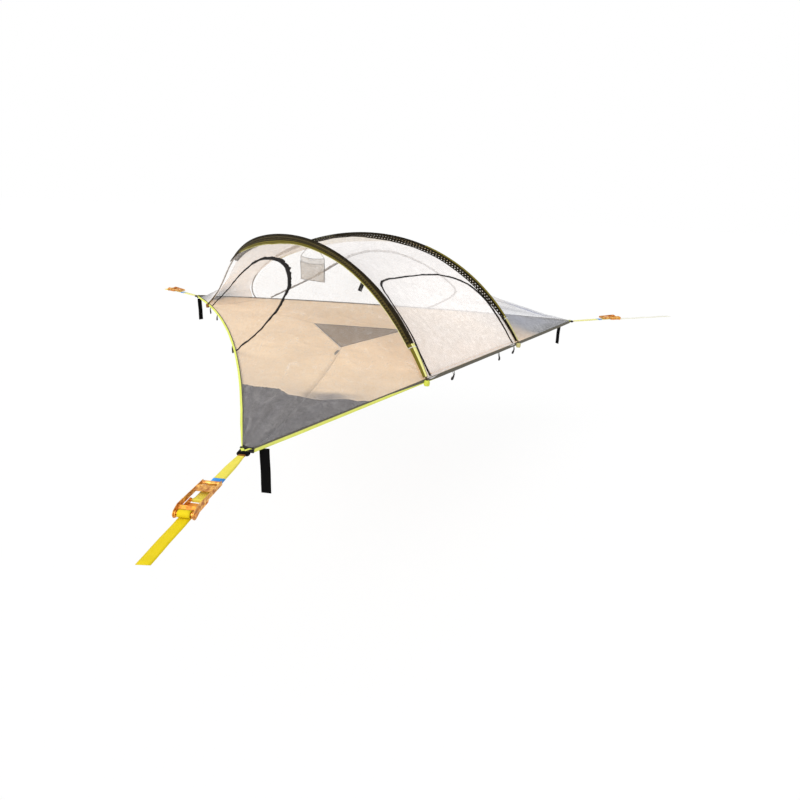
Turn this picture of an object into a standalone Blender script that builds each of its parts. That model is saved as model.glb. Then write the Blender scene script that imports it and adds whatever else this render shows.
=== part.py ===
"""Tree tent: a three-sided hammock tent slung between three trees by ratchet straps.

Metres, +Z up. The origin is the centre of the three corners, in their plane. Corner a is the near
one, on -Y; corner b is at the far left and corner c at the far right. Two arched poles fan out from
beside corner b and land on the hem between a and c, so the tent mirrors in the upright plane
through corner b.
"""

import math

import bmesh
import bpy
import numpy as np
from mathutils import Matrix, Vector

# Driving dimensions of the tent
SIDE_LENGTH = 4.1
SIDE_HEM_SAG = 0.151
SIDE_HEM_RISE = 0.058
DOOR_HEM_BULGE = 0.039
DOOR_HEM_RISE = 0.020
CLEARANCE = 0.0003
OVERRUN = 0.010
WELD = CLEARANCE / 20

# Fabric and webbing
MESH_CLOTH = 0.0012
FLOOR_CLOTH = 0.0014
HEM_HEIGHT = 0.025
HEM_THICKNESS = 0.003
HEM_STEPS = 30
STRAP_WIDTH = 0.050
STRAP_THICKNESS = 0.002
CORNER_CUT = 0.050

# The hems stop short of the corner, where the keeper gathers them
HEM_TRIM_SHARE = (CORNER_CUT + HEM_THICKNESS) / math.cos(math.radians(30)) / SIDE_LENGTH

# Arched poles: places of the feet on the hems, and the Bezier points between them
FRONT_FOOT_SHARE = 0.3354
BACK_FOOT_SHARE = 0.1732
ARCH_ALONG_SHARES = (0.035, 0.106, 0.7085)
ARCH_RISES = (0.32, 0.669, 1.38)
ARCH_LEANS = (0.364, -0.146, 0.030)
POLE_RADIUS = 0.006
FERRULE_RADIUS = 0.0068
FERRULE_LENGTH = 0.050
POLE_SECTION = 0.445
POLE_STEPS = 40
POLE_OUTSET = 0.022
POLE_RAISE = 0.005

# Pole sleeves
SLEEVE_SHARES = (0.345, 0.962)
SLEEVE_HALF_WIDTH = 0.031
SLEEVE_DROP = 0.011
SLEEVE_CLOTH = 0.0012
SLEEVE_EASE = 0.0012
SLEEVE_STEPS = 32
SLEEVE_FOLD_SHARES = (0.56, 0.28)
SLEEVE_HUG_SHARES = (0.85, 0.70)
SLEEVE_CREST_SHARE = 1.08

# Pole feet
FOOT_WIDTH = 0.034
FOOT_DEPTH = 0.034
FOOT_HEIGHT = 0.034
FOOT_TOP = 0.006

# The canopy's ends are set back from the poles' feet
FOOT_TRIM_SHARE = FOOT_WIDTH / SIDE_LENGTH

# Canopy
SEAM_SHARES = (0.035, 0.965)
CANOPY_COLUMNS = 24
CANOPY_ROWS = 8
MIDDLE_ROWS = 10
CORNER_COLUMN_SHARE = 0.54
RELAX_ROUNDS = 900
SLIVER = MESH_CLOTH / 3

# Doors: the shares place each door's foot on its hem, and the line's points are shares of the foot
SIDE_DOOR_SHARES = (0.215, 0.63)
SIDE_DOOR_LINE = (
    (0.0, 0.0),
    (0.35, 0.194),
    (0.60, 0.352),
    (0.82, 0.401),
    (1.00, 0.350),
    (1.12, 0.248),
    (1.175, 0.145),
    (1.11, 0.065),
    (1.0, 0.0),
)
FRONT_DOOR_SHARES = (0.352, 0.648)
FRONT_DOOR_LINE = (
    (0.010, 0.0),
    (0.024, 0.22),
    (0.050, 0.42),
    (0.13, 0.585),
    (0.28, 0.695),
    (0.50, 0.7375),
    (0.72, 0.695),
    (0.87, 0.585),
    (0.950, 0.42),
    (0.976, 0.22),
    (0.990, 0.0),
)
DOOR_SILL = 0.022
DOOR_HINGE_GAP = 0.0016
DOOR_LINE_STEPS = 3
ZIP_WIDTH = 0.020
ZIP_GAP = 0.0008
SIDE_DOOR_TIP_CUT = 0.024
SIDE_DOOR_REACH_SHARE = 0.3
FRONT_DOOR_REACH_SHARE = 0.6

# Floor
HATCH_RADIUS = 0.50
HATCH_HEIGHT = 0.004
HATCH_HINGE_GAP = 0.0016
HATCH_CORNER_SHARE = 0.02
CORNER_PANEL_RADIUS = 1.60
FLOOR_COLUMNS = 36
FLOOR_ROWS = 5
ROLL_STRAP_WIDTH = 0.025

# Corner keeper: a black loop of stiff webbing that gathers each corner
KEEPER_CLAMP = 0.007
KEEPER_LENGTH = 0.024
KEEPER_WIDTH = 0.064
KEEPER_HEIGHT = 0.026
KEEPER_WALL = 0.005

# Hanging black straps
TIE_STRAP_LENGTH = 0.235
TIE_STRAP_PLACE = 0.116

# Ratchet buckle: sizes in its own axes, x outward along the strap from the spool's axis
SPOOL_HEIGHT = 0.012
SPOOL_DISTANCE_A = 0.505
SPOOL_DISTANCE_B = 0.520
SPOOL_DISTANCE_C = 0.620
TAIL_END_A = 0.765
TAIL_END_B = 0.640
TAIL_END_C = 1.400
PLATE = 0.0025
FRAME_INNER_WIDTH = 0.062
FRAME_LENGTH = 0.112
FRAME_NOSE_RADIUS = 0.014
FRAME_NOSE_DEG = (-90.0, 150.0)
FRAME_BOTTOM = 0.014
FRAME_TOP = 0.0045
FRAME_SHOULDER = 0.020
BOLT_RADIUS = 0.005
BOLT_BACK = 0.100
BOLT_DROP = 0.006
FRAME_WEB_START = 0.045
FRAME_WEB_END = 0.088
MANDREL_RADIUS = 0.009
MANDREL_SLOT = 0.0044
WHEEL_ROOT = 0.0125
WHEEL_TIP = 0.017
WHEEL_TEETH = 12
TOOTH_GAP_DEG = 19.7
TOOTH_TIP_DEG = 4.0
WHEEL_THICKNESS = 0.003
STUB_RADIUS = 0.007
CAP_RADIUS = 0.0095
CAP_THICKNESS = 0.0016
PAWL_THICKNESS = 0.0035
PAWL_TIP_RADIUS = 0.0132
PAWL_TRAVEL = 0.005
LOCK_PAWL_LENGTH = 0.020
DRIVE_PAWL_DEG = 150.0
DRIVE_BAR_INNER = 0.0176
DRIVE_BAR_OUTER = 0.034
DRIVE_EAR_INNER = 0.021
DRIVE_EAR_OUTER = 0.029
HANDLE_LENGTH = 0.215
HANDLE_HUB_RADIUS = 0.0175
HANDLE_HUB_DEG = (-120.0, 80.0)
HANDLE_BROW = 0.026
HANDLE_BROW_BACK = 0.040
HANDLE_END_TOP = 0.019
HANDLE_END_BOTTOM = 0.001
HANDLE_THROAT_BACK = 0.060
HANDLE_THROAT_TOP = 0.004
GRIP_RADIUS = 0.009
HANDLE_WEB_START = 0.130
HANDLE_WEB_END = 0.175
WINDING_PITCH = 0.0025
WINDING_START = 0.0108
WINDING_STEPS = 34
WINDING_TURNS = 1.72
WINDING_FIRST_DEG = 8.0
WINDING_LAST_DEG = 630.0
WINDING_CLEAR_RADIUS = WINDING_START + WINDING_PITCH * WINDING_TURNS + STRAP_THICKNESS
TAIL_STEP_REACH = 0.050
TAIL_STEP = 0.001

# Short strap and its bare band
BAND_LENGTH = 0.034
BAND_WALL = 0.0006
BAND_BACK = 0.245
LOOP_HALF_GAP = 0.0003
LOOP_FLARE = 0.028
LOOP_RUNS = 9
LOOP_ARC_STEPS = 8

# Gear pocket and door tie
POCKET_WIDTH = 0.24
POCKET_HEIGHT = 0.20
POCKET_FRONT = 0.135
POCKET_OPEN = 0.012
POCKET_FOOT_SHARES = (0.6, 1.4, 2.0)
POCKET_CLOTH = 0.0015
POCKET_CORD = 0.075
POCKET_CORD_RADIUS = 0.0015
POCKET_ARCH_SHARE = 0.722
DOOR_TIE_ARCH_SHARE = 0.850
DOOR_TIE_LENGTH = 0.11
DOOR_TIE_WIDTH = 0.020

CORNER_DEGREES = {"a": -90.0, "b": 150.0, "c": 30.0}
CORNER_RADIUS = SIDE_LENGTH / math.sqrt(3)
SPOOL_DISTANCES = {"a": SPOOL_DISTANCE_A, "b": SPOOL_DISTANCE_B, "c": SPOOL_DISTANCE_C}
TAIL_ENDS = {"a": TAIL_END_A, "b": TAIL_END_B, "c": TAIL_END_C}

ROUND_SEGMENTS = 16
SHARP_DEGREES = 35.0
UP = np.array([0.0, 0.0, 1.0])


# Scene and materials


def clear_scene():
    for obj in list(bpy.data.objects):
        bpy.data.objects.remove(obj, do_unlink=True)


def new_collection(name):
    collection = bpy.data.collections.new(name)
    bpy.context.scene.collection.children.link(collection)
    return collection


def material(name, colour, roughness, metallic=0.0, alpha=1.0):
    mat = bpy.data.materials.new(name)
    mat.use_nodes = True
    shader = mat.node_tree.nodes["Principled BSDF"]
    shader.inputs["Base Color"].default_value = (*colour, 1.0)
    shader.inputs["Roughness"].default_value = roughness
    shader.inputs["Metallic"].default_value = metallic
    shader.inputs["Alpha"].default_value = alpha
    mat.diffuse_color = (*colour, alpha)
    return mat


def link(obj, collection, mat=None, parent=None):
    collection.objects.link(obj)
    if mat is not None:
        obj.data.materials.clear()
        obj.data.materials.append(mat)
    obj.parent = parent
    return obj


# Mesh tools


def baked(obj):
    """The mesh of an object with its modifiers and placing applied; the object is removed."""
    bpy.context.view_layer.update()
    graph = bpy.context.evaluated_depsgraph_get()
    mesh = bpy.data.meshes.new_from_object(obj.evaluated_get(graph))
    mesh.transform(obj.matrix_world)
    if obj.matrix_world.determinant() < 0:
        mesh.flip_normals()
    bm = bmesh.new()
    bm.from_mesh(mesh)
    bmesh.ops.remove_doubles(bm, verts=bm.verts, dist=WELD)
    bm.to_mesh(mesh)
    bm.free()
    for modifier in obj.modifiers:
        if modifier.type == "BOOLEAN" and modifier.object is not None:
            tool = modifier.object
            modifier.object = None
            bpy.data.objects.remove(tool, do_unlink=True)
    bpy.data.objects.remove(obj, do_unlink=True)
    return mesh


def tool_object(name, mesh):
    obj = bpy.data.objects.new(name, mesh)
    TOOLS.objects.link(obj)
    obj.hide_render = True
    obj.display_type = "WIRE"
    return obj


def combined(mesh, operation, tools):
    """The mesh after a Boolean with each of the tool meshes."""
    obj = tool_object("work", mesh)
    for number, tool in enumerate(tools):
        modifier = obj.modifiers.new(f"cut {number}", "BOOLEAN")
        modifier.operation = operation
        modifier.solver = "EXACT"
        modifier.object = tool_object("tool", tool)
    return baked(obj)


def plate_mesh(outline, thickness, centre=0.0, holes=()):
    """A flat plate standing in the XZ plane: its outline is (x, z), its thickness runs along Y."""
    curve = bpy.data.curves.new("plate", "CURVE")
    curve.dimensions = "2D"
    curve.fill_mode = "BOTH"
    curve.extrude = thickness / 2
    for ring in (outline, *holes):
        spline = curve.splines.new("POLY")
        spline.points.add(len(ring) - 1)
        for point, (x, z) in zip(spline.points, ring):
            point.co = (x, z, 0.0, 1.0)
        spline.use_cyclic_u = True
    obj = tool_object("plate", curve)
    obj.rotation_euler = (math.pi / 2, 0.0, 0.0)
    obj.location = (0.0, centre, 0.0)
    return faced_outward(baked(obj))


def faced_outward(mesh):
    bm = bmesh.new()
    bm.from_mesh(mesh)
    bmesh.ops.recalc_face_normals(bm, faces=bm.faces)
    if bm.calc_volume(signed=True) < 0:
        bmesh.ops.reverse_faces(bm, faces=bm.faces)
    bm.to_mesh(mesh)
    bm.free()
    return mesh


def cylinder_mesh(radius, length, place=(0.0, 0.0, 0.0), segments=ROUND_SEGMENTS):
    """A cylinder along Y about its middle."""
    bm = bmesh.new()
    bmesh.ops.create_cone(
        bm, cap_ends=True, segments=segments, radius1=radius, radius2=radius, depth=length
    )
    bmesh.ops.rotate(bm, verts=bm.verts, matrix=Matrix.Rotation(math.pi / 2, 3, "X"))
    bmesh.ops.translate(bm, verts=bm.verts, vec=Vector(place))
    mesh = bpy.data.meshes.new("cylinder")
    bm.to_mesh(mesh)
    bm.free()
    return mesh


def box_mesh(low, high, matrix=None):
    bm = bmesh.new()
    bmesh.ops.create_cube(bm, size=1.0)
    low, high = np.array(low), np.array(high)
    for vert in bm.verts:
        share = np.array(vert.co) + 0.5
        vert.co = low + (high - low) * share
    mesh = bpy.data.meshes.new("box")
    if matrix is not None:
        bmesh.ops.transform(bm, matrix=matrix, verts=bm.verts)
    bm.to_mesh(mesh)
    bm.free()
    return mesh


def grid_mesh(points, closed_columns=False):
    """A grid of faces through points[column][row]."""
    columns, rows = len(points), len(points[0])
    bm = bmesh.new()
    bmesh.ops.create_grid(bm, x_segments=columns - 1, y_segments=rows - 1, size=1.0)
    for vert in bm.verts:
        column = round((vert.co.x + 1) / 2 * (columns - 1))
        row = round((vert.co.y + 1) / 2 * (rows - 1))
        vert.co = Vector(points[column][row])
    if closed_columns:
        bmesh.ops.remove_doubles(bm, verts=bm.verts, dist=WELD)
    mesh = bpy.data.meshes.new("grid")
    bm.to_mesh(mesh)
    bm.free()
    return mesh


def thickened(mesh, thickness):
    """A closed sheet of the thickness, centred on the open surface."""
    obj = tool_object("sheet", mesh)
    modifier = obj.modifiers.new("thickness", "SOLIDIFY")
    modifier.thickness = thickness
    modifier.offset = 0.0
    modifier.use_even_offset = True
    return faced_outward(baked(obj))


def piece(name, mesh, mat, parent=None, smooth=True):
    mesh.name = name
    obj = link(bpy.data.objects.new(name, mesh), TENT, mat, parent)
    if smooth:
        mesh.shade_smooth()
        mesh.set_sharp_from_angle(angle=math.radians(SHARP_DEGREES))
    return obj


# Plan of the tent


def corner(name):
    turn = math.radians(CORNER_DEGREES[name])
    return CORNER_RADIUS * np.array([math.cos(turn), math.sin(turn), 0.0])


def outward(name):
    return corner(name) / CORNER_RADIUS


def hem_normal(first, second):
    middle = (corner(first) + corner(second)) / 2
    return middle / np.linalg.norm(middle)


def hem_point(first, second, share):
    """A point of the hem's centre line, at a share of the way from one corner to the other."""
    on_door_side = {first, second} == {"a", "c"}
    push = DOOR_HEM_BULGE if on_door_side else -SIDE_HEM_SAG
    rise = DOOR_HEM_RISE if on_door_side else SIDE_HEM_RISE
    bow = 4 * share * (1 - share)
    chord = corner(first) + (corner(second) - corner(first)) * share
    return chord + (hem_normal(first, second) * push + UP * rise) * bow


MIRROR_NORMAL = np.cross(outward("b"), UP)


def mirrored(points):
    """The points mirrored in the upright plane through corner b."""
    points = np.asarray(points, float)
    return points - 2 * (points @ MIRROR_NORMAL)[..., None] * MIRROR_NORMAL


# Poles


def local_normal(first, second, share):
    """The level direction out of the hem at a place along it."""
    step = 1e-3
    along = hem_point(first, second, share + step) - hem_point(first, second, share - step)
    normal = np.cross(along, UP)
    normal /= np.linalg.norm(normal)
    return normal if normal @ hem_normal(first, second) > 0 else -normal


def foot_point(first, second, share):
    """Where a pole's tip stands, just outside the hem."""
    normal = local_normal(first, second, share)
    return hem_point(first, second, share) + normal * POLE_OUTSET + UP * POLE_RAISE


def bezier(points, shares):
    order = len(points) - 1
    shares = np.asarray(shares)[:, None]
    return sum(
        math.comb(order, i) * (1 - shares) ** (order - i) * shares**i * points[i]
        for i in range(order + 1)
    )


def arch_points(shares):
    """The near pole's centre line, from its back foot beside corner b to its foot beside the door."""
    start = foot_point("b", "a", BACK_FOOT_SHARE)
    end = foot_point("a", "c", FRONT_FOOT_SHARE)
    chord = end - start
    length = np.linalg.norm(chord)
    along = chord / length
    rise = UP - (UP @ along) * along
    rise /= np.linalg.norm(rise)
    inward = -np.cross(along, rise)
    control = [start]
    for share, up, lean in zip(ARCH_ALONG_SHARES, ARCH_RISES, ARCH_LEANS):
        control.append(start + along * share * length + rise * up + inward * lean)
    control.append(end)
    return bezier(control, shares)


def arch_frames(shares):
    """Centre, tangent, crown direction and side direction (towards corner a) along the near arch."""
    step = 1e-4
    shares = np.clip(np.asarray(shares, float), step, 1 - step)
    centre = arch_points(shares)
    tangent = arch_points(shares + step) - arch_points(shares - step)
    tangent /= np.linalg.norm(tangent, axis=1)[:, None]
    crown = UP - (tangent @ UP)[:, None] * tangent
    crown /= np.linalg.norm(crown, axis=1)[:, None]
    side = np.cross(tangent, crown)
    return centre, tangent, crown, side


def even_shares(low, high, count):
    """Shares between two, spaced evenly along the arch's length."""
    fine = np.linspace(low, high, 400)
    steps = np.linalg.norm(np.diff(arch_points(fine), axis=0), axis=1)
    reach = np.concatenate([[0.0], np.cumsum(steps)])
    return np.interp(np.linspace(0.0, reach[-1], count), reach, fine)


def pole_object(name, mirror, mat):
    shares = even_shares(0.0, 1.0, POLE_STEPS + 1)
    centre = arch_points(shares)
    if mirror:
        centre = mirrored(centre)
    reach = np.concatenate([[0.0], np.cumsum(np.linalg.norm(np.diff(centre, axis=0), axis=1))])
    curve = bpy.data.curves.new(name, "CURVE")
    curve.dimensions = "3D"
    curve.bevel_depth = POLE_RADIUS
    curve.bevel_resolution = 2
    curve.use_fill_caps = True
    marks = []
    joint = POLE_SECTION
    while joint < reach[-1] - POLE_SECTION / 2:
        for offset, radius in (
            (-FERRULE_LENGTH / 2 - CLEARANCE, POLE_RADIUS),
            (-FERRULE_LENGTH / 2, FERRULE_RADIUS),
            (FERRULE_LENGTH / 2, FERRULE_RADIUS),
            (FERRULE_LENGTH / 2 + CLEARANCE, POLE_RADIUS),
        ):
            marks.append((joint + offset, radius))
        joint += POLE_SECTION
    free = [(place, POLE_RADIUS) for place in reach if far_from_ferrules(place, marks)]
    stations = sorted(free + marks)
    places = np.array([place for place, _ in stations])
    points = np.stack([np.interp(places, reach, centre[:, axis]) for axis in range(3)], 1)
    spline = curve.splines.new("POLY")
    spline.points.add(len(points) - 1)
    for point, place, (_, radius) in zip(spline.points, points, stations):
        point.co = (*place, 1.0)
        point.radius = radius / POLE_RADIUS
    mesh = baked(tool_object(name, curve))
    return piece(name, mesh, mat)


def far_from_ferrules(place, marks):
    near = FERRULE_LENGTH / 2 + OVERRUN
    middles = [(marks[i + 1][0] + marks[i + 2][0]) / 2 for i in range(0, len(marks), 4)]
    return all(abs(place - middle) > near for middle in middles)


def sleeve_object(name, mirror, mat):
    """The cloth tunnel over a pole: an arched strip with a skirt on each side."""
    centre, _, crown, side = arch_frames(even_shares(*SLEEVE_SHARES, SLEEVE_STEPS + 1))
    hug = FERRULE_RADIUS + SLEEVE_CLOTH + SLEEVE_EASE
    fold_side, fold_drop = SLEEVE_FOLD_SHARES
    hug_side, hug_top = SLEEVE_HUG_SHARES
    half = [
        (SLEEVE_HALF_WIDTH, -SLEEVE_DROP),
        (SLEEVE_HALF_WIDTH * fold_side, -SLEEVE_DROP * fold_drop),
        (hug * hug_side, hug * hug_top),
    ]
    across = [(-sideways, up) for sideways, up in half]
    across += [(0.0, hug * SLEEVE_CREST_SHARE), *half[::-1]]
    grid = [centre + side * sideways + crown * up for sideways, up in across]
    grid = np.array(grid).transpose(1, 0, 2)
    if mirror:
        grid = mirrored(grid)
    return piece(name, thickened(grid_mesh(grid), SLEEVE_CLOTH), mat)


def foot_object(name, first, second, share, mirror, mat):
    """A webbing cup sewn to the hem's outer face, which holds a pole's tip."""
    middle = foot_point(first, second, share)
    normal = local_normal(first, second, share)
    along = np.cross(UP, normal)
    back = POLE_OUTSET - HEM_THICKNESS / 2 - CLEARANCE
    low = (-FOOT_WIDTH / 2, -back, -FOOT_HEIGHT)
    high = (FOOT_WIDTH / 2, FOOT_DEPTH - back, FOOT_TOP)
    rows = [[along[i], normal[i], UP[i], middle[i]] for i in range(3)]
    block = box_mesh(low, high, Matrix([*rows, [0, 0, 0, 1]]))
    tip = arch_points(even_shares(0.0, 1.0, POLE_STEPS + 1))
    tip = tip[:2] if first == "b" else tip[-1:-3:-1]
    leave = (tip[1] - tip[0]) / np.linalg.norm(tip[1] - tip[0])
    length = FOOT_HEIGHT * 2
    hole = cylinder_mesh(POLE_RADIUS + CLEARANCE * 2, length)
    turn = Vector((0.0, 1.0, 0.0)).rotation_difference(Vector(leave)).to_matrix().to_4x4()
    start = tip[0] + leave * (length / 2 - CLEARANCE)
    hole.transform(Matrix.Translation(Vector(start)) @ turn)
    mesh = combined(block, "DIFFERENCE", [hole])
    if mirror:
        mirror_mesh(mesh)
    return piece(name, mesh, mat)


def mirror_mesh(mesh):
    for vert in mesh.vertices:
        vert.co = mirrored(np.array(vert.co))
    mesh.flip_normals()


# Canopy


def relaxed(grid, fixed, rounds=RELAX_ROUNDS):
    """The grid with each loose point drawn to the middle of its neighbours, as taut cloth lies."""
    grid = np.array(grid, float)
    loose = ~fixed[1:-1, 1:-1]
    for _ in range(rounds):
        middle = (grid[2:, 1:-1] + grid[:-2, 1:-1] + grid[1:-1, 2:] + grid[1:-1, :-2]) / 4
        grid[1:-1, 1:-1][loose] = middle[loose]
    return grid


def border(shape):
    fixed = np.zeros(shape, bool)
    fixed[0, :] = fixed[-1, :] = fixed[:, 0] = fixed[:, -1] = True
    return fixed


def spread(points, count):
    """A polyline resampled at even spacing."""
    points = np.asarray(points, float)
    reach = np.concatenate([[0.0], np.cumsum(np.linalg.norm(np.diff(points, axis=0), axis=1))])
    places = np.linspace(0.0, reach[-1], count)
    return np.stack([np.interp(places, reach, points[:, axis]) for axis in range(3)], 1)


def hem_top(first, second, low, high, count):
    """Points where the canopy's lower edge sits on the hem's upper edge."""
    lift = UP * (HEM_HEIGHT / 2 + CLEARANCE + MESH_CLOTH)
    shares = np.linspace(low, high, 200)
    return spread([hem_point(first, second, share) + lift for share in shares], count)


def seam_points(side_sign, count):
    """The canopy's edge along the near arch, on corner a's side (+1) or on the door's side (-1)."""
    centre, _, crown, side = arch_frames(even_shares(*SEAM_SHARES, count))
    out = SLEEVE_HALF_WIDTH + CLEARANCE + MESH_CLOTH / 2
    down = SLEEVE_DROP + CLEARANCE + MESH_CLOTH / 2
    return centre + side * side_sign * out - crown * down


def side_canopy_grid():
    """The cloth between the near arch and corner a: column along the arch, row down to the hems."""
    corner_column = round(CANOPY_COLUMNS * CORNER_COLUMN_SHARE)
    top = seam_points(1, CANOPY_COLUMNS + 1)
    start, end = BACK_FOOT_SHARE + FOOT_TRIM_SHARE, FRONT_FOOT_SHARE - FOOT_TRIM_SHARE
    left = hem_top("b", "a", start, 1 - HEM_TRIM_SHARE, corner_column + 1)
    right = hem_top("a", "c", HEM_TRIM_SHARE, end, CANOPY_COLUMNS - corner_column)
    bottom = np.concatenate([left, right])
    grid = ruled(top, bottom, CANOPY_ROWS)
    return relaxed(grid, border(grid.shape[:2]))


def ruled(top, bottom, rows):
    shares = np.linspace(0.0, 1.0, rows + 1)[None, :, None]
    return top[:, None] * (1 - shares) + bottom[:, None] * shares


def middle_canopy_grid():
    """The cloth between the two arches: column along the arches, row from the near to the far one."""
    near = seam_points(-1, CANOPY_COLUMNS + 1)
    far = mirrored(near)
    grid = ruled(near, far, MIDDLE_ROWS)
    half = MIDDLE_ROWS // 2
    back = hem_top("b", "a", HEM_TRIM_SHARE, BACK_FOOT_SHARE - FOOT_TRIM_SHARE, half)[::-1]
    grid[0, 1 : half + 1] = back
    grid[0, half:] = mirrored(grid[0, : half + 1])[::-1]
    grid[0, half] = (grid[0, half - 1] + grid[0, half + 1]) / 2
    front = hem_top("a", "c", FRONT_FOOT_SHARE + FOOT_TRIM_SHARE, 0.5, half)
    grid[-1, 1 : half + 1] = front
    grid[-1, half:] = mirrored(grid[-1, : half + 1])[::-1]
    return relaxed(grid, border(grid.shape[:2]))


def door_plane(first, second, low, high, reach):
    """Origin, along, up-slope and outward directions of the flat frame that a door is drawn in."""
    start, end = hem_point(first, second, low), hem_point(first, second, high)
    along = (end - start) / np.linalg.norm(end - start)
    slope = reach - (start + end) / 2
    slope -= (slope @ along) * along
    slope /= np.linalg.norm(slope)
    out = np.cross(along, slope)
    if out @ hem_normal(first, second) < 0:
        out = -out
    return start, along, slope, out, np.linalg.norm(end - start)


def door_outline(width, line, grow):
    """A smooth line through the door's points, pushed outward by a margin."""
    knots = np.array(line) * width
    ends = np.concatenate([[2 * knots[0] - knots[1]], knots, [2 * knots[-1] - knots[-2]]])
    points = []
    for before, start, end, after in zip(ends, ends[1:], ends[2:], ends[3:]):
        for number in range(DOOR_LINE_STEPS):
            share = number / DOOR_LINE_STEPS
            points.append(catmull_rom(before, start, end, after, share))
    points = np.array([*points, knots[-1]])
    heading = np.gradient(points, axis=0)
    heading /= np.linalg.norm(heading, axis=1)[:, None]
    return points + np.stack([-heading[:, 1], heading[:, 0]], 1) * grow


def catmull_rom(before, start, end, after, share):
    smooth = 2 * start + (end - before) * share
    smooth += (2 * before - 5 * start + 4 * end - after) * share**2
    smooth += (3 * start - before - 3 * end + after) * share**3
    return smooth / 2


def above(points, level):
    """The part of a line above a level, with its ends cut at that level."""
    kept = []
    for start, end in zip(points, points[1:]):
        if start[1] > level:
            kept.append(start)
        if (start[1] > level) != (end[1] > level):
            share = (level - start[1]) / (end[1] - start[1])
            kept.append(start + (end - start) * share)
    if points[-1][1] > level:
        kept.append(points[-1])
    return kept


def door_prism(plane, ring, depth):
    """A prism through the canopy with the ring's outline, drawn in the door's flat frame."""
    start, along, slope, out, _ = plane
    mesh = plate_mesh(ring, depth)
    axes = np.stack([along, -out, slope], 1)
    if np.linalg.det(axes) < 0:
        axes = np.stack([along, out, slope], 1)
    matrix = Matrix([[*axes[i], start[i]] for i in range(3)] + [[0, 0, 0, 1]])
    mesh.transform(matrix)
    return mesh


def blunted(points, cut):
    """A door's outline with its first tip cut off square, so that the tip clears the zip as it swings."""
    edge = points[0][0] + cut
    for index, (start, end) in enumerate(zip(points, points[1:])):
        if end[0] > edge:
            break
    share = (edge - start[0]) / (end[0] - start[0])
    foot = np.array([edge, points[0][1]])
    return [foot, start + (end - start) * share, *points[index + 1 :]]


def split_door(sheet, plane, line, tip_cut):
    """The canopy sheet parted into the panel round a door, the zip band and the door flap."""
    width = plane[4]
    depth = SIDE_LENGTH / 3
    foot = DOOR_SILL + CLEARANCE
    flap = above(door_outline(width, line, 0.0), DOOR_SILL + DOOR_HINGE_GAP)
    if tip_cut:
        flap = blunted(flap, tip_cut)
    inner = above(door_outline(width, line, ZIP_GAP), foot)
    outer = above(door_outline(width, line, ZIP_WIDTH), foot)
    clear = above(door_outline(width, line, ZIP_WIDTH + CLEARANCE), DOOR_SILL)
    door = combined(sheet.copy(), "INTERSECT", [door_prism(plane, flap, depth)])
    band = combined(sheet.copy(), "INTERSECT", [door_prism(plane, outer + inner[::-1], depth)])
    panel = combined(sheet, "DIFFERENCE", [door_prism(plane, clear, depth)])
    return [without_slivers(mesh) for mesh in (panel, band, door)]


def without_slivers(mesh):
    """The mesh with the slivers that its cuts left merged into their neighbours."""
    bm = bmesh.new()
    bm.from_mesh(mesh)
    bmesh.ops.triangulate(bm, faces=bm.faces)
    bmesh.ops.remove_doubles(bm, verts=bm.verts, dist=SLIVER)
    bmesh.ops.dissolve_degenerate(bm, edges=bm.edges, dist=SLIVER)
    bm.to_mesh(mesh)
    bm.free()
    return mesh


# Floor


def floor_border(count):
    """The floor's outer edge, once round from corner a, just inside the hems."""
    rim = []
    for first, second in (("a", "c"), ("c", "b"), ("b", "a")):
        sagitta = SIDE_HEM_SAG / (count / 3 - 1) ** 2
        inset = hem_normal(first, second) * (HEM_THICKNESS / 2 + CLEARANCE * 2 + sagitta)
        shares = np.linspace(HEM_TRIM_SHARE, 1 - HEM_TRIM_SHARE, count // 3)
        rim += [hem_point(first, second, share) - inset for share in shares]
    return np.array(rim)


def hatch_corner(name, grow=0.0):
    return outward(name) * (HATCH_RADIUS + grow) + UP * HATCH_HEIGHT


def floor_mesh():
    outer = floor_border(FLOOR_COLUMNS)
    inner = np.array([hatch_edge_point(index, FLOOR_COLUMNS) for index in range(FLOOR_COLUMNS)])
    grid = ruled(inner, outer, FLOOR_ROWS)
    closed = np.concatenate([grid[-1:], grid, grid[:1]])
    for _ in range(RELAX_ROUNDS):
        middle = (closed[2:, 1:-1] + closed[:-2, 1:-1] + closed[1:-1, 2:] + closed[1:-1, :-2]) / 4
        closed[1:-1, 1:-1] = middle
        closed[0], closed[-1] = closed[-2], closed[1]
    grid = np.concatenate([closed[1:-1], closed[1:2]])
    return thickened(grid_mesh(grid, closed_columns=True), FLOOR_CLOTH)


def hatch_edge_point(index, count):
    """A point of the floor's hole, with the hole's corners facing the tent's corners."""
    per_side = count // 3
    names = (("a", "c"), ("c", "b"), ("b", "a"))[index // per_side]
    share = (index % per_side) / (per_side - 1)
    share = HATCH_CORNER_SHARE + share * (1 - 2 * HATCH_CORNER_SHARE)
    grow = CLEARANCE * 2
    return hatch_corner(names[0], grow) * (1 - share) + hatch_corner(names[1], grow) * share


def hatch_mesh():
    """The three-cornered flap that fills the hole, hinged on the side towards corners b and c."""
    ring = []
    for names in (("a", "c"), ("c", "b"), ("b", "a")):
        for share in (HATCH_CORNER_SHARE, 1 - HATCH_CORNER_SHARE):
            point = hatch_corner(names[0], -CLEARANCE) * (1 - share)
            point = point + hatch_corner(names[1], -CLEARANCE) * share
            ring.append(point)
    back = hatch_corner("b")[1] - HATCH_HINGE_GAP
    ring = [(x, min(y, back)) for x, y, _ in ring]
    mesh = plate_mesh(ring, FLOOR_CLOTH)
    mesh.transform(Matrix.Rotation(-math.pi / 2, 4, "X"))
    mesh.transform(Matrix.Translation((0.0, 0.0, HATCH_HEIGHT)))
    return mesh


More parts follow.
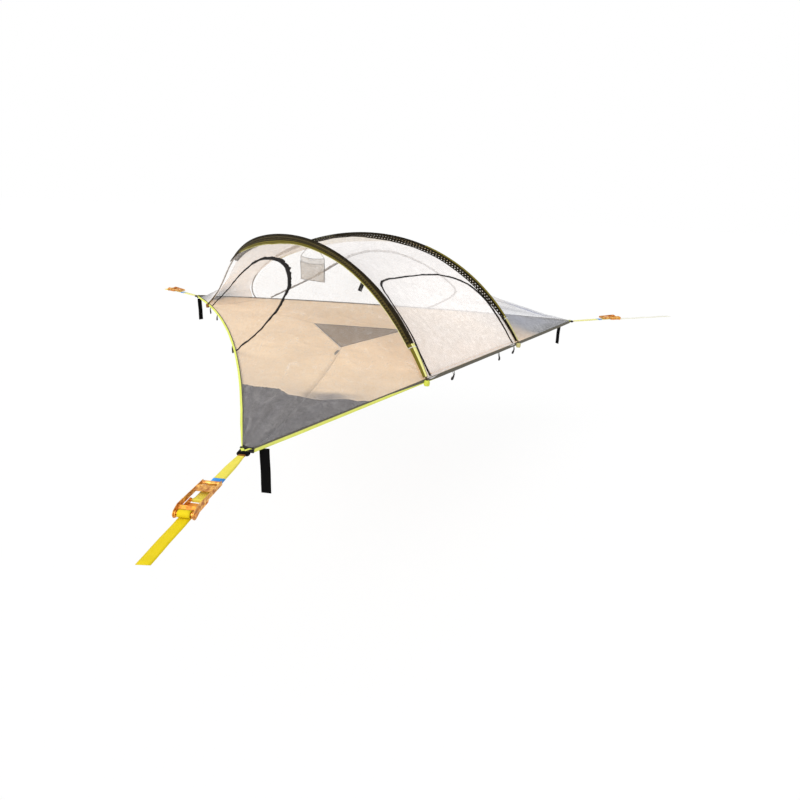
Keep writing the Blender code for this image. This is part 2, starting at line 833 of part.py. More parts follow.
def corner_prism(name, low, high):
    """A box across a corner between two distances from the tent's centre."""
    half, height = SIDE_LENGTH / 2, SIDE_LENGTH / 4
    box = box_mesh((low, -half, -height), (high, half, height))
    box.transform(Matrix.Rotation(math.radians(CORNER_DEGREES[name]), 4, "Z"))
    return box


def make_floor(cloth, corner_cloth):
    sheet = floor_mesh()
    for name in "abc":
        edge = CORNER_PANEL_RADIUS
        panel = combined(sheet.copy(), "INTERSECT", [corner_prism(name, edge + CLEARANCE, SIDE_LENGTH)])
        piece(f"corner_panel_{name}", panel, corner_cloth)
    cuts = [corner_prism(name, CORNER_PANEL_RADIUS, SIDE_LENGTH) for name in "abc"]
    bed = combined(sheet, "DIFFERENCE", cuts)
    piece("floor_panel", bed, cloth)
    piece("floor_hatch", hatch_mesh(), corner_cloth)


# Hems and straps of the tent


def hem_end_share(first, second):
    """The share at which the hem's end meets the keeper at its first corner."""
    out = outward(first)
    reach = CORNER_RADIUS - CORNER_CUT - CLEARANCE
    corner_reach = abs(hem_normal(first, second) @ out) * HEM_THICKNESS / 2
    shares = np.linspace(0.0, HEM_TRIM_SHARE * 2, 2000)
    clear = [hem_point(first, second, share) @ out + corner_reach < reach for share in shares]
    return shares[clear.index(True)]


def hem_object(name, first, second, mat):
    """A yellow webbing band on edge along one side of the tent."""
    low, high = hem_end_share(first, second), 1 - hem_end_share(second, first)
    shares = np.linspace(low, high, HEM_STEPS + 1)
    line = np.array([hem_point(first, second, share) for share in shares])
    grid = np.stack([line - UP * HEM_HEIGHT / 2, line + UP * HEM_HEIGHT / 2], 1)
    return piece(name, thickened(grid_mesh(grid), HEM_THICKNESS), mat)


def strip_mesh(path, width, thickness, closed=False):
    """A flat strap along a path of (x, z) points, its width along Y."""
    path = np.asarray(path, float)
    if closed:
        path = np.concatenate([path, path[:1]])
    grid = np.zeros((len(path), 2, 3))
    grid[:, :, 0] = path[:, :1]
    grid[:, :, 2] = path[:, 1:]
    grid[:, 0, 1] = -width / 2
    grid[:, 1, 1] = width / 2
    return thickened(grid_mesh(grid, closed_columns=closed), thickness)


def roll_strap_object(name, mat):
    """The strap under the floor from a corner to the hatch, which stops the tent rolling over."""
    under = FLOOR_CLOTH / 2 + CLEARANCE + STRAP_THICKNESS / 2
    inner = (HATCH_RADIUS + ROLL_STRAP_WIDTH / 2, HATCH_HEIGHT - under)
    outer = (CORNER_RADIUS - CORNER_CUT - OVERRUN, -under)
    mesh = strip_mesh([inner, outer], ROLL_STRAP_WIDTH, STRAP_THICKNESS)
    mesh.transform(Matrix.Rotation(math.radians(CORNER_DEGREES[name]), 4, "Z"))
    return piece(f"roll_strap_{name}", mesh, mat)


def tie_strap_object(name, mat):
    """The black strap that hangs under the hem at a corner, with its hinge line as its origin."""
    following = {"a": "c", "c": "b", "b": "a"}[name]
    share = TIE_STRAP_PLACE / SIDE_LENGTH
    slant = SIDE_HEM_RISE * 4 / SIDE_LENGTH * HEM_THICKNESS
    drop = HEM_HEIGHT / 2 + CLEARANCE + slant + STRAP_THICKNESS / 2
    place = hem_point(name, following, share) - UP * drop
    holder = bpy.data.objects.new(f"tie_strap_{name}_hinge", None)
    TENT.objects.link(holder)
    holder.rotation_euler = (0.0, 0.0, math.radians(CORNER_DEGREES[name]))
    holder.location = place
    mesh = round_topped(TIE_STRAP_LENGTH, STRAP_WIDTH)
    return piece(f"tie_strap_{name}", mesh, mat, holder)


def round_topped(length, width):
    """A hanging strap with its top edge round about the hinge line, its width along Y."""
    half = STRAP_THICKNESS / 2
    outline = [*arc((0.0, 0.0), half, 0.0, 180.0, 6), (-half, -length), (half, -length)]
    return plate_mesh(outline, width)


# Corner gear: keeper, short strap, ratchet buckle and tail strap


def keeper_mesh():
    """The black piece at a corner: a clamp on the hem ends and a flat ring for the short strap."""
    half = KEEPER_WIDTH / 2
    wall = KEEPER_WALL
    clamp = box_mesh((0.0, -half, -KEEPER_HEIGHT / 2), (KEEPER_CLAMP, half, KEEPER_HEIGHT / 2))
    ring = box_mesh((wall / 2, -half, -wall / 2), (KEEPER_LENGTH, half, wall / 2))
    hole = box_mesh((KEEPER_CLAMP, -half + wall, -wall), (KEEPER_LENGTH - wall, half - wall, wall))
    return combined(combined(clamp, "UNION", [ring]), "DIFFERENCE", [hole])


def arc(centre, radius, start_deg, end_deg, steps):
    points = []
    for number in range(steps + 1):
        turn = math.radians(start_deg + (end_deg - start_deg) * number / steps)
        points.append((centre[0] + radius * math.cos(turn), centre[1] + radius * math.sin(turn)))
    return points


def ring(radius):
    """A round hole's outline."""
    return arc((0.0, 0.0), radius, 0.0, 360.0 - 360.0 / ROUND_SEGMENTS, ROUND_SEGMENTS - 1)


def frame_mesh():
    """The buckle's fixed frame: two side plates, a web, and the bolt that the short strap goes round."""
    nose = arc((0.0, 0.0), FRAME_NOSE_RADIUS, *FRAME_NOSE_DEG, 10)
    back = FRAME_LENGTH - OVERRUN
    tail = [
        (-FRAME_SHOULDER, FRAME_TOP),
        (-back, FRAME_TOP),
        (-FRAME_LENGTH, FRAME_TOP - OVERRUN),
        (-FRAME_LENGTH, -FRAME_BOTTOM + OVERRUN / 2),
        (-back, -FRAME_BOTTOM),
    ]
    outline = nose + tail
    hole = ring(MANDREL_RADIUS + CLEARANCE * 2)
    half = PAWL_THICKNESS / 2 + CLEARANCE
    slot_start = PAWL_TIP_RADIUS - CLEARANCE
    slot_end = PAWL_TIP_RADIUS + LOCK_PAWL_LENGTH + PAWL_TRAVEL + CLEARANCE
    slot = [(-slot_start, half), (-slot_end, half), (-slot_end, -half), (-slot_start, -half)]
    middle = FRAME_INNER_WIDTH / 2 + PLATE / 2
    sides = [plate_mesh(outline, PLATE, sign * middle, [hole, slot]) for sign in (-1, 1)]
    width = FRAME_INNER_WIDTH / 2 + PLATE / 2
    web = box_mesh(
        (-FRAME_WEB_END, -width, -FRAME_BOTTOM + PLATE / 2),
        (-FRAME_WEB_START, width, -FRAME_BOTTOM + PLATE * 1.5),
    )
    bolt_length = FRAME_INNER_WIDTH + PLATE * 4
    bolt = cylinder_mesh(BOLT_RADIUS, bolt_length, (-BOLT_BACK, 0.0, -BOLT_DROP))
    return combined(sides[0], "UNION", [sides[1], web, bolt])


def wheel_outline():
    """The toothed wheel, with the middle of a tooth gap on the lock pawl's side."""
    pitch = 360 / WHEEL_TEETH
    points = []
    for number in range(WHEEL_TEETH):
        gap_middle = 180 + pitch * number
        gap_start = gap_middle - TOOTH_GAP_DEG / 2
        gap_end = gap_middle + TOOTH_GAP_DEG / 2
        points += arc((0.0, 0.0), WHEEL_ROOT, gap_start, gap_end, 1)
        points += arc((0.0, 0.0), WHEEL_TIP, gap_end, gap_end + TOOTH_TIP_DEG, 1)
    return points


def spool_mesh():
    """The slotted spool with a toothed wheel and a riveted end on each side."""
    half_slot = math.degrees(math.asin(MANDREL_SLOT / 2 / MANDREL_RADIUS))
    inner = FRAME_INNER_WIDTH / 2 + PLATE + CLEARANCE
    outer = inner + WHEEL_THICKNESS
    arm_end = outer + PLATE + CLEARANCE * 2
    halves = []
    for start in (0, 180):
        outline = arc((0.0, 0.0), MANDREL_RADIUS, start + half_slot, start + 180 - half_slot, 10)
        halves.append(plate_mesh(outline, inner * 2 + WHEEL_THICKNESS))
    ends = []
    for sign in (-1, 1):
        ends.append(plate_mesh(wheel_outline(), WHEEL_THICKNESS, sign * (inner + outer) / 2))
        stub_place = (0.0, sign * (inner + arm_end) / 2, 0.0)
        ends.append(cylinder_mesh(STUB_RADIUS, arm_end - inner, stub_place))
        cap_place = (0.0, sign * (arm_end + CAP_THICKNESS / 2 - CLEARANCE / 3), 0.0)
        ends.append(cylinder_mesh(CAP_RADIUS, CAP_THICKNESS, cap_place))
    wheel, *others = ends
    return combined(wheel, "UNION", others[:2] + halves + others[2:])


def lock_pawl_mesh():
    """The sprung plate in the frame that holds both toothed wheels."""
    half = FRAME_INNER_WIDTH / 2 + PLATE + CLEARANCE + WHEEL_THICKNESS - CLEARANCE
    tip = -PAWL_TIP_RADIUS
    neck = -WINDING_CLEAR_RADIUS
    tail = -PAWL_TIP_RADIUS - LOCK_PAWL_LENGTH
    thick = PAWL_THICKNESS / 2
    plate = box_mesh((tail, -half, -thick), (tip, half, thick))
    relief = FRAME_INNER_WIDTH / 2 - CLEARANCE
    notch = box_mesh((neck, -relief, -thick * 2), (tip + OVERRUN, relief, thick * 2))
    return combined(plate, "DIFFERENCE", [notch])


def drive_pawl_mesh():
    """The sprung plate in the handle, just clear of the wheels' teeth: a bar with two ears."""
    wheel_inner = FRAME_INNER_WIDTH / 2 + PLATE + CLEARANCE
    wheel_outer = wheel_inner + WHEEL_THICKNESS
    thick = PAWL_THICKNESS / 2
    bar = box_mesh((DRIVE_BAR_INNER, -wheel_outer, -thick), (DRIVE_BAR_OUTER, wheel_outer, thick))
    ear_out = wheel_outer + CLEARANCE + PLATE + CAP_THICKNESS
    ears = box_mesh((DRIVE_EAR_INNER, -ear_out, -thick), (DRIVE_EAR_OUTER, ear_out, thick))
    mesh = combined(bar, "UNION", [ears])
    mesh.transform(Matrix.Rotation(-math.radians(DRIVE_PAWL_DEG), 4, "Y"))
    return mesh


def handle_mesh():
    """The cranked handle: two arms on the spool's stubs, a web and a round grip."""
    hub = arc((0.0, 0.0), HANDLE_HUB_RADIUS, *HANDLE_HUB_DEG, 12)
    arms = [
        (-HANDLE_BROW_BACK / 2, HANDLE_BROW),
        (-HANDLE_BROW_BACK, HANDLE_BROW),
        (-HANDLE_LENGTH, HANDLE_END_TOP),
        (-HANDLE_LENGTH, HANDLE_END_BOTTOM),
        (-HANDLE_THROAT_BACK, HANDLE_THROAT_TOP),
    ]
    outline = hub + arms
    hole = ring(STUB_RADIUS + CLEARANCE)
    turn = math.radians(DRIVE_PAWL_DEG)
    half = PAWL_THICKNESS / 2 + CLEARANCE
    low = DRIVE_EAR_INNER - CLEARANCE
    high = DRIVE_EAR_OUTER + PAWL_TRAVEL + CLEARANCE
    slot = []
    for radius, offset in ((low, half), (high, half), (high, -half), (low, -half)):
        x = radius * math.cos(turn) - offset * math.sin(turn)
        z = radius * math.sin(turn) + offset * math.cos(turn)
        slot.append((x, z))
    inner = FRAME_INNER_WIDTH / 2 + PLATE + WHEEL_THICKNESS + CLEARANCE * 2
    middle = inner + PLATE / 2
    sides = [plate_mesh(outline, PLATE, sign * middle, [hole, slot]) for sign in (-1, 1)]
    grip_z = (HANDLE_END_TOP + HANDLE_END_BOTTOM) / 2
    grip = cylinder_mesh(GRIP_RADIUS, middle * 2, (-HANDLE_LENGTH + GRIP_RADIUS, 0.0, grip_z))
    web = box_mesh(
        (-HANDLE_WEB_END, -middle, HANDLE_END_TOP - PLATE),
        (-HANDLE_WEB_START, middle, HANDLE_END_TOP),
    )
    return combined(sides[0], "UNION", [sides[1], grip, web])


def winding_path():
    """The tail strap's path from the spool's slot, round the spool and out at the bottom."""
    slot_end = MANDREL_RADIUS - STRAP_THICKNESS / 2
    path = [(-slot_end, 0.0), (0.0, 0.0), (slot_end, 0.0)]
    for degrees in np.linspace(WINDING_FIRST_DEG, WINDING_LAST_DEG, WINDING_STEPS + 1):
        turns = (degrees - WINDING_FIRST_DEG) / 360
        radius = WINDING_START + WINDING_PITCH * turns
        turn = math.radians(degrees)
        path.append((radius * math.cos(turn), radius * math.sin(turn)))
    return path


def tail_mesh(reach):
    path = winding_path()
    bottom = path[-1][1]
    path += [(MANDREL_RADIUS * 2, bottom), (TAIL_STEP_REACH, bottom - TAIL_STEP)]
    path.append((reach, bottom - TAIL_STEP))
    return strip_mesh(path, STRAP_WIDTH, STRAP_THICKNESS)


def loop_path(keeper_x, bolt_x, keeper_z, bolt_z):
    """The endless short strap: round the keeper's outer bar, two runs laid together, round the bolt."""
    rest = STRAP_THICKNESS / 2 + LOOP_HALF_GAP
    bar = KEEPER_WALL / 2 * math.sqrt(2) + CLEARANCE + STRAP_THICKNESS / 2
    bolt = BOLT_RADIUS + CLEARANCE + STRAP_THICKNESS / 2
    path = arc((keeper_x, keeper_z), bar, 270.0, 90.0, LOOP_ARC_STEPS)
    runs = LOOP_RUNS
    upper = []
    for number in range(1, runs):
        x = keeper_x + (bolt_x - keeper_x) * number / runs
        upper.append((x, run_height(x, keeper_x, bolt_x, keeper_z, bolt_z, bar, bolt, rest)))
    middle = [keeper_z + (bolt_z - keeper_z) * number / runs for number in range(1, runs)]
    lower = [(x, 2 * mid - z) for (x, z), mid in zip(upper, middle)]
    return path + upper + arc((bolt_x, bolt_z), bolt, 90.0, -90.0, LOOP_ARC_STEPS) + lower[::-1]


def run_height(x, keeper_x, bolt_x, keeper_z, bolt_z, bar, bolt, rest):
    """The height of the strap's upper run, flared towards the bar and the bolt."""
    share = (x - keeper_x) / (bolt_x - keeper_x)
    flare_in = max(0.0, 1 - (x - keeper_x) / LOOP_FLARE) ** 2
    flare_out = max(0.0, 1 - (bolt_x - x) / LOOP_FLARE) ** 2
    level = keeper_z + (bolt_z - keeper_z) * share
    return level + rest + (bar - rest) * flare_in + (bolt - rest) * flare_out


def band_mesh(level, slope):
    """The bare band: a flat sleeve round both runs of the short strap, tilted as they are."""
    half_width = STRAP_WIDTH / 2 + CLEARANCE
    half_height = LOOP_HALF_GAP + STRAP_THICKNESS + CLEARANCE
    wall = BAND_WALL
    half = BAND_LENGTH / 2
    low = (-half, -half_width - wall, -half_height - wall)
    block = box_mesh(low, [-value for value in low])
    hole = box_mesh((-half - wall, -half_width, -half_height), (half + wall, half_width, half_height))
    mesh = combined(block, "DIFFERENCE", [hole])
    mesh.transform(Matrix.Rotation(-math.atan(slope), 4, "Y"))
    mesh.transform(Matrix.Translation((-BAND_BACK, 0.0, level)))
    return mesh


def make_corner_gear(mats):
    frame, spool, handle = frame_mesh(), spool_mesh(), handle_mesh()
    lock_pawl, drive_pawl, keeper = lock_pawl_mesh(), drive_pawl_mesh(), keeper_mesh()
    for name, degrees in CORNER_DEGREES.items():
        distance = SPOOL_DISTANCES[name]
        axis = bpy.data.objects.new(f"ratchet_{name}_axis", None)
        TENT.objects.link(axis)
        axis.location = outward(name) * (CORNER_RADIUS + distance) + UP * SPOOL_HEIGHT
        axis.rotation_euler = (0.0, 0.0, math.radians(degrees))
        piece(f"ratchet_frame_{name}", frame.copy(), mats["plated"], axis)
        piece(f"ratchet_handle_{name}", handle.copy(), mats["handle"], axis)
        piece(f"ratchet_spool_{name}", spool.copy(), mats["plated"], axis)
        piece(f"lock_pawl_{name}", lock_pawl.copy(), mats["plated"], axis)
        piece(f"drive_pawl_{name}", drive_pawl.copy(), mats["plated"], axis)
        piece(f"tail_strap_{name}", tail_mesh(TAIL_ENDS[name] - distance), mats["webbing"], axis)
        keeper_back = -distance - CORNER_CUT + CLEARANCE
        keeper_copy = keeper.copy()
        keeper_copy.transform(Matrix.Translation((keeper_back, 0.0, -SPOOL_HEIGHT)))
        piece(f"corner_keeper_{name}", keeper_copy, mats["black"], axis)
        bar_x = keeper_back + KEEPER_LENGTH - KEEPER_WALL / 2
        path = loop_path(bar_x, -BOLT_BACK, -SPOOL_HEIGHT, -BOLT_DROP)
        loop = strip_mesh(path, STRAP_WIDTH, STRAP_THICKNESS, True)
        piece(f"short_strap_{name}", loop, mats["webbing"], axis)
        share = (-BAND_BACK - bar_x) / (-BOLT_BACK - bar_x)
        climb = SPOOL_HEIGHT - BOLT_DROP
        level = -SPOOL_HEIGHT + climb * share
        slope = climb / (-BOLT_BACK - bar_x)
        piece(f"strap_band_{name}", band_mesh(level, slope), mats["blue"], axis)


# Small pieces inside


def hanging_frame(share, radius, level):
    """A hinge under the near pole, x along the pole and z towards it, or z plumb if it is level."""
    _, tangent, crown, _ = (row[0] for row in arch_frames([share]))
    stations = even_shares(0.0, 1.0, POLE_STEPS + 1)
    line = arch_points(stations)
    centre = np.array([np.interp(share, stations, line[:, axis]) for axis in range(3)])
    if level:
        tangent = tangent - UP * (tangent @ UP)
        tangent /= np.linalg.norm(tangent)
    place = centre - crown * (POLE_RADIUS + CLEARANCE + radius)
    if level:
        crown = UP
    side = np.cross(crown, tangent)
    rows = [[tangent[i], side[i], crown[i], place[i]] for i in range(3)]
    return Matrix([*rows, [0, 0, 0, 1]])


def make_pocket(mat):
    """The net gear pocket: a back and a shorter front joined at the foot, on two cords."""
    axis = bpy.data.objects.new("gear_pocket_hinge", None)
    TENT.objects.link(axis)
    axis.matrix_world = hanging_frame(POCKET_ARCH_SHARE, POCKET_CORD_RADIUS, True)
    top = -POCKET_CORD
    bottom = top - POCKET_HEIGHT
    fold, rise, front = (POCKET_OPEN * share for share in POCKET_FOOT_SHARES)
    path = [(0.0, top), (0.0, bottom), (fold, bottom - POCKET_OPEN / 2)]
    path += [(rise, bottom), (front, bottom + POCKET_FRONT)]
    back = strip_mesh(path, POCKET_WIDTH, POCKET_CLOTH)
    back.transform(Matrix.Rotation(math.pi / 2, 4, "Z"))
    cords = []
    reach = POCKET_WIDTH / 2 - POCKET_CORD_RADIUS * 3
    foot = top - POCKET_CORD_RADIUS
    for sign in (-1, 1):
        length = math.hypot(reach, foot)
        cord = cylinder_mesh(POCKET_CORD_RADIUS, length, segments=ROUND_SEGMENTS // 2)
        lean = Vector((sign * reach, 0.0, foot))
        turn = Vector((0.0, 1.0, 0.0)).rotation_difference(lean).to_matrix().to_4x4()
        cord.transform(Matrix.Translation(lean / 2) @ turn)
        cords.append(cord)
    piece("gear_pocket", combined(back, "UNION", cords), mat, axis)


def make_door_tie(mat):
    """The stiff black tab under the near pole that ties the open door back."""
    axis = bpy.data.objects.new("door_tie_hinge", None)
    TENT.objects.link(axis)
    axis.matrix_world = hanging_frame(DOOR_TIE_ARCH_SHARE, STRAP_THICKNESS / 2, False)
    mesh = round_topped(DOOR_TIE_LENGTH, DOOR_TIE_WIDTH)
    mesh.transform(Matrix.Rotation(math.pi / 2, 4, "Z"))
    piece("door_tie", mesh, mat, axis)


# Build

TENT = None
TOOLS = None


def build():
    global TENT, TOOLS
    clear_scene()
    TENT = new_collection("Tree tent")
    TOOLS = new_collection("Cutters")
    mats = {
        "net": material("net", (0.86, 0.85, 0.82), 0.8, 0.0, 0.4),
        "door": material("door_net", (0.90, 0.89, 0.86), 0.8, 0.0, 0.4),
        "floor": material("floor_cloth", (0.82, 0.66, 0.54), 0.8),
        "corner": material("corner_cloth", (0.25, 0.24, 0.27), 0.85),
        "hem": material("hem_webbing", (0.85, 0.90, 0.10), 0.7),
        "webbing": material("strap_webbing", (0.92, 0.80, 0.03), 0.7),
        "black": material("black_webbing", (0.01, 0.01, 0.01), 0.8),
        "blue": material("blue_band", (0.03, 0.25, 0.65), 0.6),
        "plated": material("plated_steel", (0.80, 0.45, 0.18), 0.35, 1.0),
        "handle": material("handle_steel", (0.75, 0.38, 0.14), 0.35, 1.0),
        "pole": material("pole_alloy", (0.55, 0.50, 0.30), 0.35, 1.0),
        "sleeve": material("sleeve_cloth", (0.03, 0.025, 0.02), 0.8),
        "foot": material("foot_webbing", (0.90, 0.75, 0.10), 0.75),
        "zip": material("zip_tape", (0.01, 0.01, 0.01), 0.6),
        "pocket": material("pocket_net", (0.45, 0.45, 0.45), 0.8),
    }
    make_floor(mats["floor"], mats["corner"])
    hem_object("hem_ac", "a", "c", mats["hem"])
    hem_object("hem_ab", "a", "b", mats["hem"])
    hem_object("hem_bc", "b", "c", mats["hem"])
    for name in "abc":
        roll_strap_object(name, mats["hem"])
        tie_strap_object(name, mats["black"])
    for name, mirror in (("near", False), ("far", True)):
        pole_object(f"pole_{name}", mirror, mats["pole"])
        sleeve_object(f"pole_sleeve_{name}", mirror, mats["sleeve"])
        foot_object(f"pole_foot_back_{name}", "b", "a", BACK_FOOT_SHARE, mirror, mats["foot"])
        foot_object(f"pole_foot_front_{name}", "a", "c", FRONT_FOOT_SHARE, mirror, mats["foot"])
    make_canopy(mats)
    make_pocket(mats["pocket"])
    make_door_tie(mats["black"])
    make_corner_gear(mats)


def make_canopy(mats):
    side_grid = side_canopy_grid()
    reach = side_grid[round(CANOPY_COLUMNS * SIDE_DOOR_REACH_SHARE)][0]
    plane = door_plane("b", "a", *SIDE_DOOR_SHARES, reach)
    sheet = thickened(grid_mesh(side_grid), MESH_CLOTH)
    parts = split_door(sheet, plane, SIDE_DOOR_LINE, SIDE_DOOR_TIP_CUT)
    names = ("canopy_ab", "door_zip_ab", "door_ab")
    for name, mesh, mat in zip(names, parts, ("net", "zip", "door")):
        twin = mesh.copy()
        piece(name, mesh, mats[mat])
        mirror_mesh(twin)
        piece(name.replace("ab", "bc"), twin, mats[mat])
    middle_grid = middle_canopy_grid()
    crest = middle_grid[round(CANOPY_COLUMNS * FRONT_DOOR_REACH_SHARE)][MIDDLE_ROWS // 2]
    plane = door_plane("a", "c", *FRONT_DOOR_SHARES, crest)
    sheet = thickened(grid_mesh(middle_grid), MESH_CLOTH)
    parts = split_door(sheet, plane, FRONT_DOOR_LINE, 0.0)
    names = ("canopy_middle", "door_zip_ac", "door_ac")
    for name, mesh, mat in zip(names, parts, ("net", "zip", "door")):
        piece(name, mesh, mats[mat])


build()
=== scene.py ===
"""Looks of the three-sided tree tent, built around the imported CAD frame. Metres, +Z up, as in part.py."""

import math

import bmesh
import bpy
import numpy as np
from mathutils import Matrix, Vector, noise
from mathutils.bvhtree import BVHTree


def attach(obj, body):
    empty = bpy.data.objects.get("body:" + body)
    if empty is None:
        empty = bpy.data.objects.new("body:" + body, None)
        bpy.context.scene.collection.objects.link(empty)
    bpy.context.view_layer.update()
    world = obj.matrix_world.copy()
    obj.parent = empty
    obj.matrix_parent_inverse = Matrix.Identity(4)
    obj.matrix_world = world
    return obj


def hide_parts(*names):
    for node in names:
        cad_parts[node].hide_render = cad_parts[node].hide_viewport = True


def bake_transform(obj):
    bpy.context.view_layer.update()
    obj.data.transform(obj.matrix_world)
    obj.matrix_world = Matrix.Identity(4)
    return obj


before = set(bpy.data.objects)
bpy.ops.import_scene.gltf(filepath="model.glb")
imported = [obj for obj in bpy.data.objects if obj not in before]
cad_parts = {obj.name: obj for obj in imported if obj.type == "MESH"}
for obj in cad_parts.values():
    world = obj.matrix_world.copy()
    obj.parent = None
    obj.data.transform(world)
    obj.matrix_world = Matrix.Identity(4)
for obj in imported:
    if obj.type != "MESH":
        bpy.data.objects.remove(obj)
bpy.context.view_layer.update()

# Sizes repeated from part.py
SIDE_LENGTH = 4.1
SIDE_HEM_SAG = 0.151
SIDE_HEM_RISE = 0.058
DOOR_HEM_BULGE = 0.039
DOOR_HEM_RISE = 0.020
CLEARANCE = 0.0003
HEM_HEIGHT = 0.025
HEM_THICKNESS = 0.003
STRAP_WIDTH = 0.050
STRAP_THICKNESS = 0.002
CORNER_CUT = 0.050
HEM_SPLAYS = {"ba": (22.0, 46.0), "ac": (14.0, 14.0), "cb": (52.0, 52.0)}
HEM_TRIM_SHARE = (CORNER_CUT + HEM_THICKNESS) / math.cos(math.radians(30)) / SIDE_LENGTH
FRONT_FOOT_SHARE = 0.3354
BACK_FOOT_SHARE = 0.1732
ARCH_ALONG_SHARES = (0.035, 0.106, 0.7085)
ARCH_RISES = (0.32, 0.669, 1.38)
ARCH_LEANS = (0.364, -0.146, 0.030)
POLE_RADIUS = 0.006
FERRULE_RADIUS = 0.0068
FERRULE_LENGTH = 0.050
POLE_SECTION = 0.445
POLE_OUTSET = 0.022
POLE_RAISE = 0.005
SLEEVE_SHARES = (0.345, 0.962)
SLEEVE_HALF_WIDTH = 0.031
SLEEVE_DROP = 0.011
SLEEVE_HUG = 0.0092
FOOT_WIDTH = 0.034
FOOT_TRIM_SHARE = FOOT_WIDTH / SIDE_LENGTH
SEAM_SHARES = (0.035, 0.965)
CANOPY_COLUMNS = 24
CANOPY_ROWS = 8
MIDDLE_ROWS = 10
CORNER_COLUMN = 13
RELAX_ROUNDS = 900
SIDE_DOOR_SHARES = (0.215, 0.63)
SIDE_DOOR_LINE = (
    (0.0, 0.0),
    (0.35, 0.194),
    (0.60, 0.352),
    (0.82, 0.401),
    (1.00, 0.350),
    (1.12, 0.248),
    (1.175, 0.145),
    (1.11, 0.065),
    (1.0, 0.0),
)
FRONT_DOOR_SHARES = (0.352, 0.648)
FRONT_DOOR_LINE = (
    (0.010, 0.0),
    (0.024, 0.22),
    (0.050, 0.42),
    (0.13, 0.585),
    (0.28, 0.695),
    (0.50, 0.7375),
    (0.72, 0.695),
    (0.87, 0.585),
    (0.950, 0.42),
    (0.976, 0.22),
    (0.990, 0.0),
)
SIDE_DOOR_REACH_SHARE = 0.3
FRONT_DOOR_REACH_SHARE = 0.6
DOOR_SILL = 0.022
DOOR_HINGE_GAP = 0.0016
SIDE_DOOR_TIP_CUT = 0.024
HATCH_RADIUS = 0.50
HATCH_HEIGHT = 0.004
HATCH_CORNER_SHARE = 0.02
CORNER_PANEL_RADIUS = 1.60
FLOOR_COLUMNS = 36
FLOOR_ROWS = 5
ROLL_STRAP_WIDTH = 0.025
KEEPER_LENGTH = 0.024
KEEPER_WALL = 0.005
TIE_STRAP_LENGTH = 0.235
TIE_STRAP_PLACE = 0.116
SPOOL_HEIGHT = 0.012
SPOOL_DISTANCES = {"a": 0.505, "b": 0.520, "c": 0.620}
TAIL_ENDS = {"a": 0.765, "b": 0.640, "c": 1.400}
BOLT_RADIUS = 0.005
BOLT_BACK = 0.100
BOLT_DROP = 0.006
MANDREL_RADIUS = 0.009
WINDING_START = 0.0108
WINDING_PITCH = 0.0025
WINDING_DEG = (8.0, 630.0)
TAIL_STEP_REACH = 0.050
TAIL_STEP = 0.001
LOOP_FLARE = 0.028
POCKET_WIDTH = 0.24
POCKET_HEIGHT = 0.20
POCKET_FRONT = 0.135
POCKET_CORD = 0.075
POCKET_CORD_RADIUS = 0.0015
POCKET_ARCH_SHARE = 0.722
DOOR_TIE_ARCH_SHARE = 0.850
DOOR_TIE_LENGTH = 0.11
DOOR_TIE_WIDTH = 0.020
DOOR_TIE_SHOWN_WIDTH = DOOR_TIE_WIDTH + 0.008
CORNER_DEGREES = {"a": -90.0, "b": 150.0, "c": 30.0}
CORNER_RADIUS = SIDE_LENGTH / math.sqrt(3)
SIDES = (("a", "c"), ("c", "b"), ("b", "a"))
X_AXIS, Y_AXIS, UP = np.eye(3)
TIE_SEEN_AT = np.array([0.212, -0.893, 0.553])


# Looks and small sizes of the scene alone
WORLD_LEVEL = 0.80
SUN_LEVEL = 1.60
GROUND_LEVEL = -1.35
GROUND_REACH = 90.0
GROUND_GLOW = 0.92
CAMERA_PLACE = (0.923, -4.356, 1.089)
CAMERA_TURNS = (-0.1127, -0.3648, 0.0454)
CAMERA_SENSOR = 36.0
CAMERA_FOCUS_SHARE = 519.4 / 800
CLOTH = 0.0012
HATCH_CLOTH = 0.0014
HATCH_STEPS = 30
BAND_EDGE = 0.0004
HEM_END_SHARE = 0.94
ZIP_OVERLAP = 0.009
ZIP_PROFILE = ((0.0, 0.0006), (0.12, 0.0026), (0.35, 0.0052), (0.60, 0.0056), (0.85, 0.0030), (1.0, 0.0008))
FRONT_ZIP_WIDTH = 0.0165
FRONT_ZIP_LUMPS = 0.25
SIDE_ZIP_LUMPS = 0.36
ZIP_STEP = 0.012
ZIP_FOOT = 0.006
TOOTH_PITCH = 0.0062
TOOTH_SIZE = (0.0030, 0.0042, 0.0022)
TOOTH_STAGGER = 0.0009
TIP_BAND = (0.017, 0.0022)
TIP_BACK = 0.016
TIP_HALF_SPANS = (0.0295, 0.004)
FERRULE_EASE = 0.0012
CUP_HALF_WIDTH = 0.0168
CUP_HALF_HEIGHT = 0.0195
CUP_SETBACK = 0.0033
CUP_DROP = 0.0145
TIE_STRAP_DROOP = 0.006
GATHER_DEPTH = 0.021
GATHER_REACH = 0.105
KNOT_SPAN = (0.037, 0.050)
POCKET_TURN_DEG = 12.0
POCKET_BELLY = 0.020
POCKET_LIP_SAG = 0.012
POCKET_BINDING_RADIUS = 0.0017
DOOR_TIE_TURN_DEG = 41.0
TOGGLE_LOOP_RADIUS = 0.0024
GREEN_LOOP_SHARE = 0.59
GREEN_LOOP_RADIUS = 0.0022
NEAR_COMB = (0.0230, 0.42)
FAR_COMB = (0.0290, 0.64)
LEG_REACH = 0.036
LEG_TAPER = 0.42
LEG_END_SHARE = 0.9955
SLEEVE_TIE_RADIUS = 0.0024
SLEEVE_EDGES = (0.041, 0.044, 0.056)
SLEEVE_STEPS = 240
SLEEVE_TAPER = 0.10
NEAR_SLEEVE_RISE = 0.013
SLEEVE_RISE_SHARES = (0.15, 0.16)
